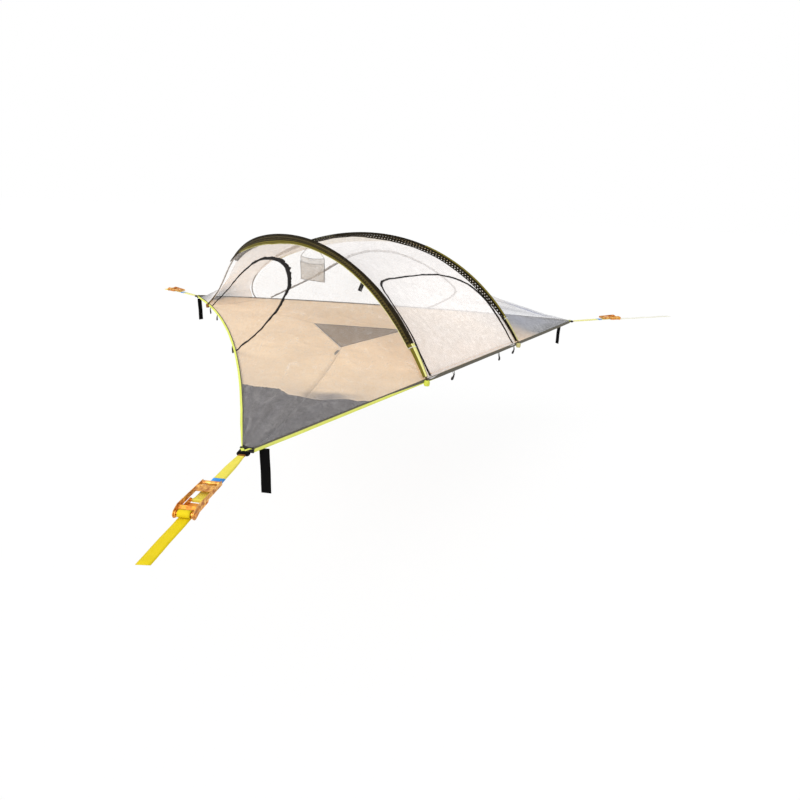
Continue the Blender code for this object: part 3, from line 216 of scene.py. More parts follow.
NEAR_SLEEVE_END_WIDTH = 0.60
NARROWING_SHARES = (0.32, 0.72)
SEAM_OFFSET = 0.001
REFINE_ACROSS = 8
# Each corner's gathers: number of folds, reach, and weight of the fold values that thicken the net and paint shade
# into it.
CANOPY_GATHERS = (("a", 26, 0.95, 1.15), ("b", 24, 0.50, 0.3), ("c", 26, 0.60, 1.0))
FLOOR_WAVES = {"a": (0.036, 5.2, 0.3), "b": (0.035, 6.0, 1.4), "c": (0.04, 5.5, 2.1)}
SEAM_HALF_WIDTH = 0.016
SEAM_END = 2.2
PALE_TIP_FROM = 2.02
# Corner c's cloth is tinted blue as painted shade.
CORNER_LOOKS = {"a": "corner", "b": "corner_back", "c": "corner_far"}
TENT_MIDDLE = np.array([0.0, -0.2, 0.1])
SKIRT_SOURCE_ROWS = 70
SKIRT_ROWS = 21
SKIRT_LIFTS = (0.0005, 0.0030)
SKIRT_REACH = 0.110
SKIRT_PLACE_SHARES = (0.0, 0.08, 0.2, 0.35, 0.5, 0.7, 0.9, 1.0)
NEAR_SKIRT_SHARES = (0.35, 0.75, 1.4, 1.6, 1.05, 0.50, 0.30, 0.25)
FAR_SKIRT_SHARES = (0.35, 0.75, 1.4, 1.8, 1.5, 1.05, 0.75, 0.45)
NODE_LOOKS = {
    "ratchet_frame": "plated",
    "ratchet_spool": "plated",
    "lock_pawl": "plated",
    "drive_pawl": "plated",
    "ratchet_handle": "handle",
    "corner_keeper": "keeper",
}
TOGGLE_PLACES = (
    ("a", "c", 0.419),
    ("a", "c", 0.583),
    ("a", "c", 0.650),
    ("b", "a", 0.195),
    ("b", "a", 0.30),
    ("b", "a", 0.575),
    ("c", "b", 0.3),
    ("c", "b", 0.55),
    ("c", "b", 0.75),
)


# Tools


def linked(name, data):
    """A new object with that data, put in the scene."""
    obj = bpy.data.objects.new(name, data)
    bpy.context.scene.collection.objects.link(obj)
    return obj


def unit(vectors):
    """Vectors of length 1: a single one, or one for each row."""
    if np.ndim(vectors) == 1:
        return vectors / np.linalg.norm(vectors)
    return vectors / np.maximum(np.linalg.norm(vectors, axis=-1), 1e-12)[..., None]


def frame_matrix(x_axis, y_axis, z_axis, place):
    rows = [[x_axis[i], y_axis[i], z_axis[i], place[i]] for i in range(3)]
    return Matrix([*rows, [0, 0, 0, 1]])


# Camera, light and stage


def make_camera():
    """The photograph's viewpoint, from a fit to the tent's corners, hems and arches."""
    yaw, pitch, roll = CAMERA_TURNS
    forward = Vector((math.sin(yaw) * math.cos(pitch), math.cos(yaw) * math.cos(pitch), math.sin(pitch)))
    right = Vector((math.cos(yaw), -math.sin(yaw), 0.0))
    above = right.cross(forward)
    across = right * math.cos(roll) + above * math.sin(roll)
    upward = -right * math.sin(roll) + above * math.cos(roll)
    data = bpy.data.cameras.new("camera")
    data.sensor_width = CAMERA_SENSOR
    data.lens = CAMERA_SENSOR * CAMERA_FOCUS_SHARE
    data.clip_end = 200.0
    camera = linked("camera", data)
    camera.matrix_world = frame_matrix(across, upward, -forward, CAMERA_PLACE)
    bpy.context.scene.camera = camera
    bpy.context.scene.view_settings.view_transform = "Standard"


def seen_directly(tree):
    """1 for rays from the camera, a reflection or through something clear, and 0 for those that light the tent."""
    paths = tree.nodes.new("ShaderNodeLightPath")
    seen = add(tree, "Math", "ADD", paths.outputs["Is Camera Ray"], paths.outputs["Is Glossy Ray"])
    return add(tree, "Math", "ADD", seen, paths.outputs["Is Transmission Ray"], use_clamp=True)


def make_light():
    """A white surrounding that lights less than it shows, and a soft key light."""
    world = bpy.data.worlds.new("studio")
    bpy.context.scene.world = world
    world.use_nodes = True
    tree = world.node_tree
    background = tree.nodes["Background"]
    background.inputs["Color"].default_value = (1.0, 1.0, 1.0, 1.0)
    strength = add(tree, "Math", "MULTIPLY_ADD", seen_directly(tree), 1.0 - WORLD_LEVEL, WORLD_LEVEL)
    tree.links.new(strength, background.inputs["Strength"])
    sun = bpy.data.lights.new("key", "SUN")
    sun.energy = SUN_LEVEL
    sun.angle = math.radians(35.0)
    lamp = linked("key", sun)
    lamp.rotation_euler = (math.radians(38.0), math.radians(-22.0), 0.0)


def make_stage():
    """The studio's white ground, which takes only a faint shadow."""
    mesh = bpy.data.meshes.new("ground")
    corners = [(x * GROUND_REACH, y * GROUND_REACH, 0) for x, y in ((-1, -1), (1, -1), (1, 1), (-1, 1))]
    mesh.from_pydata(corners, [], [(0, 1, 2, 3)])
    ground = linked("ground", mesh)
    ground.location = (0.0, 0.0, GROUND_LEVEL)
    mat = bpy.data.materials.new("ground")
    mat.use_nodes = True
    tree = mat.node_tree
    tree.nodes.clear()
    seen = seen_directly(tree)
    diffuse = tree.nodes.new("ShaderNodeBsdfDiffuse")
    diffuse.inputs["Color"].default_value = (0.92, 0.92, 0.92, 1.0)
    glow = tree.nodes.new("ShaderNodeEmission")
    mix = tree.nodes.new("ShaderNodeMixShader")
    tree.links.new(add(tree, "Math", "MULTIPLY", seen, GROUND_GLOW), mix.inputs[0])
    tree.links.new(diffuse.outputs[0], mix.inputs[1])
    tree.links.new(glow.outputs[0], mix.inputs[2])
    out = tree.nodes.new("ShaderNodeOutputMaterial")
    tree.links.new(mix.outputs[0], out.inputs["Surface"])
    mesh.materials.append(mat)


# Material tools


def add(tree, kind, operation=None, *values, **settings):
    """Adds a node, sets or links its inputs in order, and returns its first output."""
    node = tree.nodes.new("ShaderNode" + kind)
    if operation is not None:
        node.operation = operation
    for key, value in settings.items():
        setattr(node, key, value)
    for socket, value in zip(node.inputs, values):
        if isinstance(value, bpy.types.NodeSocket):
            tree.links.new(value, socket)
        elif value is not None:
            socket.default_value = value
    return node.outputs[0]


def set_inputs(node, **values):
    for key, value in values.items():
        node.inputs[key.replace("_", " ")].default_value = value


def toned(colour, factor, lift=0.0):
    return tuple(min(1.0, channel * factor + lift) for channel in colour)


class Finish:
    """A Principled material with helpers for its patterns."""

    def __init__(self, name, colour, roughness, metallic=0.0, **sockets):
        self.mat = bpy.data.materials.new(name)
        self.mat.use_nodes = True
        self.tree = self.mat.node_tree
        self.shader = self.tree.nodes["Principled BSDF"]
        set_inputs(self.shader, Base_Color=(*colour, 1.0), Roughness=roughness, Metallic=metallic)
        set_inputs(self.shader, **sockets)
        self.mat.diffuse_color = (*colour, 1.0)

    def math(self, operation, *values, **settings):
        return add(self.tree, "Math", operation, *values, **settings)

    def plus(self, *values, **settings):
        return self.math("ADD", *values, **settings)

    def minus(self, *values, **settings):
        return self.math("SUBTRACT", *values, **settings)

    def times(self, *values, **settings):
        """The product of two values, plus a third if it is given."""
        return self.math("MULTIPLY_ADD" if len(values) == 3 else "MULTIPLY", *values, **settings)

    def coordinates(self):
        """The piece's UV in metres, as two outputs."""
        uv = self.tree.nodes.new("ShaderNodeUVMap")
        uv.uv_map = "cloth"
        split = self.tree.nodes.new("ShaderNodeSeparateXYZ")
        self.tree.links.new(uv.outputs[0], split.inputs[0])
        return split.outputs[0], split.outputs[1]

    def attribute(self, name):
        node = self.tree.nodes.new("ShaderNodeAttribute")
        node.attribute_name = name
        return node.outputs["Fac"]

    def noise(self, scale, detail=3.0, roughness=0.55, distortion=0.0, vector=None):
        node = self.tree.nodes.new("ShaderNodeTexNoise")
        set_inputs(node, Scale=scale, Detail=detail, Roughness=roughness, Distortion=distortion)
        if vector is None:
            vector = self.tree.nodes.new("ShaderNodeTexCoord").outputs["Object"]
        self.tree.links.new(vector, node.inputs["Vector"])
        return node.outputs["Fac"]

    def remap(self, value, low, high, to_low=0.0, to_high=1.0):
        return add(self.tree, "MapRange", None, value, low, high, to_low, to_high)

    def mix(self, share, first, second):
        node = self.tree.nodes.new("ShaderNodeMix")
        node.data_type = "RGBA"
        self.tree.links.new(share, node.inputs[0])
        for socket, value in ((node.inputs[6], first), (node.inputs[7], second)):
            if isinstance(value, bpy.types.NodeSocket):
                self.tree.links.new(value, socket)
            else:
                socket.default_value = (*value, 1.0)
        return node.outputs[2]

    def link(self, output, socket):
        self.tree.links.new(output, self.shader.inputs[socket])

    def bump(self, height, distance, strength=1.0):
        node = self.tree.nodes.new("ShaderNodeBump")
        set_inputs(node, Strength=strength, Distance=distance)
        self.tree.links.new(height, node.inputs["Height"])
        self.tree.links.new(node.outputs[0], self.shader.inputs["Normal"])

    def streaks(self, turn, scale, stretch):
        """Noise drawn out along one direction of the piece's UV."""
        along, across = self.coordinates()
        lengthways, sideways = math.cos(turn) * scale, math.sin(turn) * scale
        far = self.times(across, sideways / stretch)
        near = self.times(along, -sideways)
        first = self.times(along, lengthways / stretch, far)
        second = self.times(across, lengthways, near)
        return self.noise(1.0, 3.0, 0.6, 0.4, add(self.tree, "CombineXYZ", None, first, second))

    def wave(self, value, period):
        turned = self.times(value, 2 * math.pi / period)
        return self.times(self.math("SINE", turned), 0.5, 0.5)


def webbing(name, colour, edge=None, edge_from=0.0, edge_end=None, pitch=0.0026, roughness=0.62, shine=0.18):
    """Woven webbing: a chevron rib, fuzzy colour and, if given, a binding of another colour beyond a line.

    edge_end says where along the piece that line leaves its first level and reaches its last, and that level."""
    finish = Finish(name, colour, roughness, Specular_IOR_Level=shine)
    along, across = finish.coordinates()
    zigzag = finish.math("PINGPONG", across, 0.0042)
    rib = finish.wave(finish.plus(along, zigzag), pitch)
    cross = finish.wave(across, 0.0021)
    weave = finish.times(cross, 0.35, finish.times(rib, 0.65))
    cloudy = finish.noise(16.0, 4.0)
    dark, light = toned(colour, 0.72), toned(colour, 1.08)
    tone = finish.times(cloudy, 0.55, finish.times(weave, 0.55))
    base = finish.mix(finish.remap(tone, 0.12, 0.62), dark, light)
    if edge is not None:
        start, end, last = edge_end or (0.0, 1.0, edge_from)
        over = finish.minus(across, finish.remap(along, start, end, edge_from, last))
        base = finish.mix(finish.remap(over, -BAND_EDGE, BAND_EDGE), base, edge)
    finish.link(base, "Base Color")
    finish.bump(weave, 0.0006, 0.7)
    return finish.mat


def hexagons(finish, pitch):
    """The distance from the nearest cell wall of a honeycomb on the piece's UV, from 0 to 1."""
    along, across = finish.coordinates()
    size = (pitch, pitch * math.sqrt(3))

    def centred(shift):
        parts = []
        for value, step in zip((along, across), size):
            moved = finish.plus(value, shift * step / 2)
            wrapped = finish.math("FLOORED_MODULO", moved, step)
            parts.append(finish.math("ABSOLUTE", finish.minus(wrapped, step / 2)))
        x, y = parts
        slanted = finish.times(x, 0.5, finish.times(y, math.sqrt(0.75)))
        return finish.math("MAXIMUM", slanted, x)

    nearest = finish.math("MINIMUM", centred(0.0), centred(1.0))
    return finish.minus(1.0, finish.math("DIVIDE", nearest, pitch / 2), use_clamp=True)


def net(name, colour, low, high, pitch, gather=0.2, folded=(0.5, 0.5, 0.55), glow=0.0, shade_depth=2.0):
    """Fine see-through netting: its threads run along a honeycomb, denser where the cloth is gathered and painted
    darker there as shade.

    Glow stands for the light that the thin threads pass on from behind."""
    finish = Finish(name, colour, 0.7, Specular_IOR_Level=0.1)
    wall = hexagons(finish, pitch)
    thread = finish.remap(wall, 0.45, 0.12)
    gathered_and_shaded = finish.attribute("fold")
    cloudy = finish.noise(9.0, 5.0, 0.65, 0.6)
    streak = finish.remap(finish.noise(30.0, 5.0, 0.6, 1.4), 0.50, 0.68, 0.0, 0.10)
    pulled = finish.math("MAXIMUM", finish.streaks(0.9, 44.0, 8.0), finish.streaks(-0.5, 38.0, 8.0))
    streak = finish.plus(streak, finish.remap(pulled, 0.60, 0.72, 0.0, 0.08))
    density = finish.times(gathered_and_shaded, gather, finish.remap(cloudy, 0.4, 0.75, 0.0, 0.06))
    density = finish.plus(density, streak)
    alpha = finish.plus(finish.remap(thread, 0.0, 1.0, low, high), density, use_clamp=True)
    finish.link(alpha, "Alpha")
    crinkle = finish.noise(26.0, 5.0, 0.6, 1.2)
    plain = finish.mix(finish.remap(crinkle, 0.38, 0.62), toned(colour, 0.85), colour)
    # Painted shade: where the fold value is high the colour darkens toward the fold colour.
    finish.link(finish.mix(finish.times(gathered_and_shaded, shade_depth, use_clamp=True), plain, folded), "Base Color")
    finish.bump(finish.times(crinkle, 0.9, finish.times(thread, 0.1)), 0.006, 0.5)
    set_inputs(finish.shader, Emission_Color=(*colour, 1.0), Emission_Strength=glow)
    return finish.mat


def cloth(name, colour, line, shade=None):
    """Taut coated floor cloth: a small ripstop grid, soft creases, marked lines and, if given, a painted shade
    mixed in by the fold value.
    """
    finish = Finish(name, colour, 0.62, Specular_IOR_Level=0.25)
    along, across = finish.coordinates()
    grid = finish.math("MAXIMUM", finish.wave(along, 0.007), finish.wave(across, 0.007))
    ripstop = finish.remap(grid, 0.93, 1.0)
    cloudy = finish.noise(2.6, 5.0, 0.6, 0.4)
    crease = finish.noise(11.0, 6.0, 0.62, 1.6)
    dark, light = toned(colour, 0.88), toned(colour, 1.05)
    pulled = finish.plus(finish.streaks(0.9, 14.0, 6.0), finish.streaks(-0.4, 11.0, 6.0))
    crease = finish.times(pulled, 0.35, finish.times(crease, 0.3))
    tone = finish.times(cloudy, 0.5, finish.times(crease, 0.5))
    base = finish.mix(finish.remap(tone, 0.36, 0.62), dark, light)
    base = finish.mix(finish.times(ripstop, 0.16), base, dark)
    base = finish.mix(finish.attribute("mark"), base, line)
    if shade is not None:
        # Painted shade, mixed in by the fold value.
        base = finish.mix(finish.attribute("fold"), base, shade)
    finish.link(base, "Base Color")
    height = finish.times(crease, 0.85, finish.times(ripstop, 0.15))
    finish.bump(height, 0.010, 0.45)
    return finish.mat


def metal(name, colour, roughness, dark, metallic=1.0):
    """Plated steel: brushed, cloudy in tone and roughness, darker in some of its cloudy patches."""
    finish = Finish(name, colour, roughness, metallic)
    cloudy = finish.noise(55.0, 4.0, 0.6, 0.3)
    fine = finish.noise(900.0, 2.0, 0.5)
    finish.link(finish.mix(finish.remap(cloudy, 0.38, 0.66), dark, colour), "Base Color")
    finish.link(finish.remap(cloudy, 0.3, 0.7, roughness * 1.35, roughness * 0.8), "Roughness")
    finish.bump(finish.times(fine, 0.3, finish.times(cloudy, 0.7)), 0.0004, 0.35)
    return finish.mat


def plastic(name, colour, roughness, grain=420.0, shine=0.3):
    """Moulded or fine-spun stuff: a fine grain over cloudy colour."""
    finish = Finish(name, colour, roughness, Specular_IOR_Level=shine)
    fine = finish.noise(grain, 3.0, 0.5)
    cloudy = finish.noise(24.0, 3.0)
    dark, light = toned(colour, 0.7), toned(colour, 1.15, 0.006)
    finish.link(finish.mix(finish.remap(cloudy, 0.35, 0.65), dark, light), "Base Color")
    finish.link(finish.remap(fine, 0.3, 0.7, roughness * 0.85, min(1.0, roughness * 1.2)), "Roughness")
    finish.bump(fine, 0.0003, 0.5)
    return finish.mat


def make_materials():
    """All materials by the names that the pieces use."""
    near, middle, sand = (0.93, 0.90, 0.88), (1.0, 0.96, 0.94), (0.91, 0.68, 0.44)
    middle_fold_shade, binding, black = (0.09, 0.09, 0.10), (0.10, 0.085, 0.05), (0.0035, 0.0032, 0.0034)
    # The far corner's cloth colour is the dark grey tinted blue: painted shade toward corner c.
    corner_grey_in_shade, far_binding = (0.050, 0.055, 0.068), (0.115, 0.105, 0.080)
    return {
        # Where the nets gather and toward the corners, the far net is painted lilac-blue and the middle nets
        # near-black as shade.
        "net": net("canopy_net", near, 0.03, 0.19, 0.0042, 0.08, glow=0.13),
        "net_far": net("canopy_net_far", (0.93, 0.92, 0.92), 0.06, 0.28, 0.0042, 1.0, (0.36, 0.38, 0.49), 0.08),
        "net_middle": net("canopy_net_middle", middle, 0.46, 0.80, 0.0042, 0.1, middle_fold_shade, 0.08, 1.0),
        "door": net("door_net", near, 0.03, 0.19, 0.0042, 0.05, glow=0.13),
        "door_middle": net("door_net_middle", middle, 0.46, 0.80, 0.0042, 0.1, middle_fold_shade, 0.10, 1.0),
        "pocket": net("pocket_net", (0.50, 0.43, 0.35), 0.30, 0.72, 0.0036),
        # The floor's last colour is painted shade, toward corner c and as a veil toward corner a.
        "floor": cloth("floor_cloth", sand, (0.50, 0.36, 0.23), (0.10, 0.105, 0.125)),
        "corner_far": cloth("corner_cloth_far", corner_grey_in_shade, (0.03, 0.03, 0.04)),
        "corner_back": cloth("corner_cloth_back", (0.10, 0.096, 0.10), sand),
        "corner": cloth("corner_cloth", (0.050, 0.044, 0.047), (0.022, 0.020, 0.020)),
        "hatch": cloth("hatch_cloth", (0.270, 0.186, 0.108), (0.03, 0.03, 0.03)),
        "hem": webbing("hem_webbing", (0.70, 0.75, 0.12), binding, 0.0060),
        "hem_far": webbing("hem_webbing_far", (0.74, 0.77, 0.16), far_binding, 0.0045, (0.95, 1.50, -0.0135)),
        "hem_inside": webbing("hem_binding", (0.17, 0.14, 0.10)),
        "webbing": webbing("strap_webbing", (0.77, 0.60, 0.006)),
        "slack": webbing("slack_webbing", (0.80, 0.70, 0.09)),
        "pale": webbing("pale_webbing", (0.78, 0.75, 0.28)),
        # This pale yellow is the lime sleeve cloth painted as lit through from behind.
        "lining": webbing("sleeve_lining", (0.92, 0.89, 0.62)),
        "leg": webbing("leg_webbing", (0.50, 0.46, 0.20)),
        "grey": webbing("worn_webbing", (0.78, 0.77, 0.66)),
        # This olive is the lime sleeve cloth painted in shade.
        "shaded_lime": webbing("sleeve_edging", (0.155, 0.125, 0.008), pitch=0.0018),
        "stitch": webbing("stitched_webbing", (0.20, 0.075, 0.012)),
        "brown": webbing("sleeve_lower", (0.070, 0.050, 0.008), pitch=0.0018),
        "black": webbing("black_webbing", black, roughness=0.8, shine=0.05),
        "honeycomb": plastic("sleeve_mesh", (0.013, 0.009, 0.003), 0.8, shine=0.06),
        "backing": net("sleeve_backing", (0.034, 0.025, 0.008), 0.80, 0.96, 0.0030, 0.0),
        "zip": plastic("zip_tape", (0.012, 0.010, 0.009), 0.8, shine=0.1),
        "zip_far": plastic("zip_tape_far", (0.20, 0.19, 0.185), 0.8, shine=0.1),
        "teeth": plastic("zip_teeth", (0.02, 0.02, 0.02), 0.35),
        "pole": metal("pole_alloy", (0.16, 0.12, 0.06), 0.34, (0.07, 0.05, 0.03)),
        "foot": webbing("foot_webbing", (0.62, 0.66, 0.08)),
        "back_foot": webbing("back_foot_webbing", (0.26, 0.12, 0.03)),
        "keeper": plastic("keeper_plastic", (0.014, 0.013, 0.013), 0.5),
        "blue": plastic("blue_band", (0.018, 0.26, 0.72), 0.45, 700.0),
        "plated": metal("plated_steel", (1.0, 0.50, 0.07), 0.42, (0.58, 0.18, 0.03), 0.65),
        "handle": metal("handle_steel", (1.0, 0.56, 0.13), 0.40, (0.44, 0.15, 0.03), 0.65),
        "cord": plastic("cord_sheath", (0.11, 0.11, 0.10), 0.7, 900.0),
        "white": plastic("white_cord", (0.80, 0.80, 0.76), 0.7, 900.0),
        "green": plastic("green_cord", (0.25, 0.62, 0.03), 0.6, 900.0),
    }


# Plan of the tent, as in part.py


def corner(name):
    turn = math.radians(CORNER_DEGREES[name])
    return CORNER_RADIUS * np.array([math.cos(turn), math.sin(turn), 0.0])


def outward(name):
    return corner(name) / CORNER_RADIUS


def across_of(name):
    """The level direction across a corner, to the right as seen from outside it."""
    return np.cross(UP, outward(name))


def hem_normal(first, second):
    return unit((corner(first) + corner(second)) / 2)


def hem_point(first, second, share):
    """A point of the hem's centre line, at a share of the way from one corner to the other."""
    on_door_side = {first, second} == {"a", "c"}
    push = DOOR_HEM_BULGE if on_door_side else -SIDE_HEM_SAG
    rise = DOOR_HEM_RISE if on_door_side else SIDE_HEM_RISE
    bow = 4 * share * (1 - share)
    chord = corner(first) + (corner(second) - corner(first)) * share
    return chord + (hem_normal(first, second) * push + UP * rise) * bow


MIRROR_NORMAL = np.cross(outward("b"), UP)


def mirrored(points):
    """The points mirrored in the upright plane through corner b."""
    points = np.asarray(points, float)
    return points - 2 * (points @ MIRROR_NORMAL)[..., None] * MIRROR_NORMAL


def local_normal(first, second, share):
    """The level direction out of the hem at a place along it."""
    step = 1e-3
    along = hem_point(first, second, share + step) - hem_point(first, second, share - step)
    normal = unit(np.cross(along, UP))
    return normal if normal @ hem_normal(first, second) > 0 else -normal


def hem_lean(first, second, shares):
    """How far the hem's lower edge is splayed outward, in radians, from its first corner to its second."""
    shares = np.asarray(shares, float)
    splay = np.interp(shares, (0.0, 1.0), HEM_SPLAYS[first + second])
    return np.radians(splay) * (0.25 + 0.75 * np.clip(np.sin(shares * math.pi) * 4, 0, 1))


def foot_point(first, second, share):
    normal = local_normal(first, second, share)
    return hem_point(first, second, share) + normal * POLE_OUTSET + UP * POLE_RAISE


def bezier(points, shares):
    order = len(points) - 1
    shares = np.asarray(shares)[:, None]
    return sum(
        math.comb(order, i) * (1 - shares) ** (order - i) * shares**i * points[i]
        for i in range(order + 1)
    )


def arch_points(shares):
    """The near pole's centre line, from its back foot beside corner b to its foot beside the door."""
    start = foot_point("b", "a", BACK_FOOT_SHARE)
    end = foot_point("a", "c", FRONT_FOOT_SHARE)
    chord = end - start
    length = np.linalg.norm(chord)
    along = chord / length
    rise = unit(UP - (UP @ along) * along)
    inward = -np.cross(along, rise)
    control = [start]
    for share, up, lean in zip(ARCH_ALONG_SHARES, ARCH_RISES, ARCH_LEANS):
        control.append(start + along * share * length + rise * up + inward * lean)
    control.append(end)
    return bezier(control, shares)


def arch_frames(shares):
    """Centre, tangent, crown direction and side direction (towards corner a) along the near arch."""
    step = 1e-4
    shares = np.clip(np.asarray(shares, float), step, 1 - step)
    centre = arch_points(shares)
    tangent = unit(arch_points(shares + step) - arch_points(shares - step))
    crown = unit(UP - (tangent @ UP)[:, None] * tangent)
    return centre, tangent, crown, np.cross(tangent, crown)


def reach_along(points):
    steps = np.linalg.norm(np.diff(points, axis=0), axis=1)
    return np.concatenate([[0.0], np.cumsum(steps)])


def even_shares(low, high, count):
    """Shares between two, spaced evenly along the arch's length."""
    fine = np.linspace(low, high, 400)
    reach = reach_along(arch_points(fine))
    return np.interp(np.linspace(0.0, reach[-1], count), reach, fine)


def neighbour_mean(grid):
    return (grid[2:, 1:-1] + grid[:-2, 1:-1] + grid[1:-1, 2:] + grid[1:-1, :-2]) / 4


def relaxed(grid):
    """The grid with each point inside its border drawn to the middle of its neighbours, as taut cloth lies."""
    grid = np.array(grid, float)
    for _ in range(RELAX_ROUNDS):
        grid[1:-1, 1:-1] = neighbour_mean(grid)
    return grid


def sampled(places, reach, values):
    """Rows of values at places along the reach that they belong to."""
    return np.stack([np.interp(places, reach, values[:, axis]) for axis in range(3)], -1)


def spread(points, count):
    """A polyline resampled at even spacing."""
    points = np.asarray(points, float)
    reach = reach_along(points)
    return sampled(np.linspace(0.0, reach[-1], count), reach, points)


def hem_top(first, second, low, high, count):
    """Points where the canopy's lower edge sits on the hem's upper edge."""
    lift = UP * (HEM_HEIGHT / 2 + 0.0015)
    shares = np.linspace(low, high, 200)
    return spread([hem_point(first, second, share) + lift for share in shares], count)


def seam_points(side_sign, count):
    """The canopy's edge along the near arch, on corner a's side (+1) or on the door's side (-1)."""
    centre, _, crown, side = arch_frames(even_shares(*SEAM_SHARES, count))
    return centre + side * side_sign * (SLEEVE_HALF_WIDTH + SEAM_OFFSET) - crown * (SLEEVE_DROP + SEAM_OFFSET)


def ruled(top, bottom, rows):
    shares = np.linspace(0.0, 1.0, rows + 1)[None, :, None]
    return top[:, None] * (1 - shares) + bottom[:, None] * shares


def side_canopy_grid():
    """The cloth between the near arch and corner a: column along the arch, row down to the hems."""
    top = seam_points(1, CANOPY_COLUMNS + 1)
    start, end = BACK_FOOT_SHARE + FOOT_TRIM_SHARE, FRONT_FOOT_SHARE - FOOT_TRIM_SHARE
    left = hem_top("b", "a", start, 1 - HEM_TRIM_SHARE, CORNER_COLUMN + 1)
    right = hem_top("a", "c", HEM_TRIM_SHARE, end, CANOPY_COLUMNS - CORNER_COLUMN)
    grid = ruled(top, np.concatenate([left, right]), CANOPY_ROWS)
    return relaxed(grid)


def middle_canopy_grid():
    """The cloth between the two arches: column along the arches, row from the near to the far one."""
    near = seam_points(-1, CANOPY_COLUMNS + 1)
    grid = ruled(near, mirrored(near), MIDDLE_ROWS)
    half = MIDDLE_ROWS // 2
    back = hem_top("b", "a", HEM_TRIM_SHARE, BACK_FOOT_SHARE - FOOT_TRIM_SHARE, half)[::-1]
    grid[0, 1 : half + 1] = back
    grid[0, half:] = mirrored(grid[0, : half + 1])[::-1]
    grid[0, half] = (grid[0, half - 1] + grid[0, half + 1]) / 2
    front = hem_top("a", "c", FRONT_FOOT_SHARE + FOOT_TRIM_SHARE, 0.5, half)
    grid[-1, 1 : half + 1] = front
    grid[-1, half:] = mirrored(grid[-1, : half + 1])[::-1]
    return relaxed(grid)


def door_plane(first, second, low, high, reach):
    """Origin, along, up-slope and outward directions and width of the flat frame that a door is drawn in."""
    start, end = hem_point(first, second, low), hem_point(first, second, high)
    along = unit(end - start)
    slope = reach - (start + end) / 2
    slope = unit(slope - (slope @ along) * along)
    out = np.cross(along, slope)
    if out @ hem_normal(first, second) < 0:
        out = -out
    return start, along, slope, out, np.linalg.norm(end - start)


def catmull_rom(before, start, end, after, share):
    smooth = 2 * start + (end - before) * share
    smooth += (2 * before - 5 * start + 4 * end - after) * share**2
    smooth += (3 * start - before - 3 * end + after) * share**3
    return smooth / 2


def smooth_through(points, factor):
    """A smooth curve through the points along their first axis, with that many steps between two."""
    points = np.asarray(points, float)
    ends = np.concatenate([2 * points[:1] - points[1:2], points, 2 * points[-1:] - points[-2:-1]])
    made = []
    for index in range(len(points) - 1):
        for number in range(factor):
            made.append(catmull_rom(*ends[index : index + 4], number / factor))
    return np.array([*made, points[-1]])


# Sheets: a table of points with their UV, mark and fold columns, and triangles; the fold column holds fold and
# painted-shade values

XYZ, UV, MARK, FOLD_AND_SHADE = slice(0, 3), slice(3, 5), 5, 6


def grid_sheet(grid, uv):
    """A sheet through grid[column][row]."""
    columns, rows = grid.shape[:2]
    table = np.zeros((columns * rows, 7))
    table[:, XYZ] = grid.reshape(-1, 3)
    table[:, UV] = uv.reshape(-1, 2)
    index = np.arange(columns * rows).reshape(columns, rows)
    a, b, c, d = index[:-1, :-1], index[1:, :-1], index[1:, 1:], index[:-1, 1:]
    triangles = np.concatenate([np.stack([a, b, c], -1).reshape(-1, 3), np.stack([a, c, d], -1).reshape(-1, 3)])
    return table, triangles


def clipped(sheet, values):
    """The part of a sheet where the values are above zero, cut along their zero line."""
    table, triangles = sheet
    values = np.where(np.abs(values) < 1e-6, 1e-6, values)
    inside = values > 0
    count = inside[triangles].sum(1)
    kept = [tuple(row) for row in triangles[count == 3]]
    made, fresh = {}, []

    def crossing(first, second):
        key = (min(first, second), max(first, second))
        if key not in made:
            share = values[key[0]] / (values[key[0]] - values[key[1]])
            made[key] = len(table) + len(fresh)
            fresh.append(table[key[0]] + (table[key[1]] - table[key[0]]) * share)
        return made[key]

    for row, number in zip(triangles, count):
        if number in (0, 3):
            continue
        odd = number == 1
        lone = next(i for i in range(3) if inside[row[i]] == odd)
        a, b, c = (int(row[(lone + i) % 3]) for i in range(3))
        if odd:
            kept.append((a, crossing(a, b), crossing(a, c)))
        else:
            kept.append((b, c, crossing(a, c)))
            kept.append((b, crossing(a, c), crossing(a, b)))
    table = np.concatenate([table, np.array(fresh)]) if fresh else table
    used, places = np.unique(np.array(kept), return_inverse=True)
    return table[used], places.reshape(-1, 3)


def uv_grid(along, across):
    return np.stack(np.broadcast_arrays(along, across), -1)


def sheet_normals(sheet):
    table, triangles = sheet
    a, b, c = (table[triangles[:, i], XYZ] for i in range(3))
    face = np.cross(b - a, c - a)
    normals = np.zeros((len(table), 3))
    for i in range(3):
        np.add.at(normals, triangles[:, i], face)
    return unit(normals)


def mesh_object(name, points, faces, mats, uv=None, marks=None, slots=None):
    """An object from points and faces, its UV one row for each point."""
    mesh = bpy.data.meshes.new(name)
    mesh.from_pydata([tuple(point) for point in points], [], [tuple(int(i) for i in face) for face in faces])
    for mat in mats if isinstance(mats, (list, tuple)) else [mats]:
        mesh.materials.append(mat)
    if uv is not None:
        layer = mesh.uv_layers.new(name="cloth")
        corners = np.zeros(len(mesh.loops), np.int32)
        mesh.loops.foreach_get("vertex_index", corners)
        layer.data.foreach_set("uv", np.asarray(uv, np.float32)[corners].ravel())
    for key, values in (marks or {}).items():
        mesh.attributes.new(key, "FLOAT", "POINT").data.foreach_set("value", np.asarray(values, np.float32))
    if slots is not None:
        mesh.polygons.foreach_set("material_index", np.asarray(slots, np.int32))
    mesh.shade_smooth()
    return linked(name, mesh)


def thicken(obj, thickness, offset=0.0):
    modifier = obj.modifiers.new("thickness", "SOLIDIFY")
    modifier.thickness, modifier.offset = thickness, offset


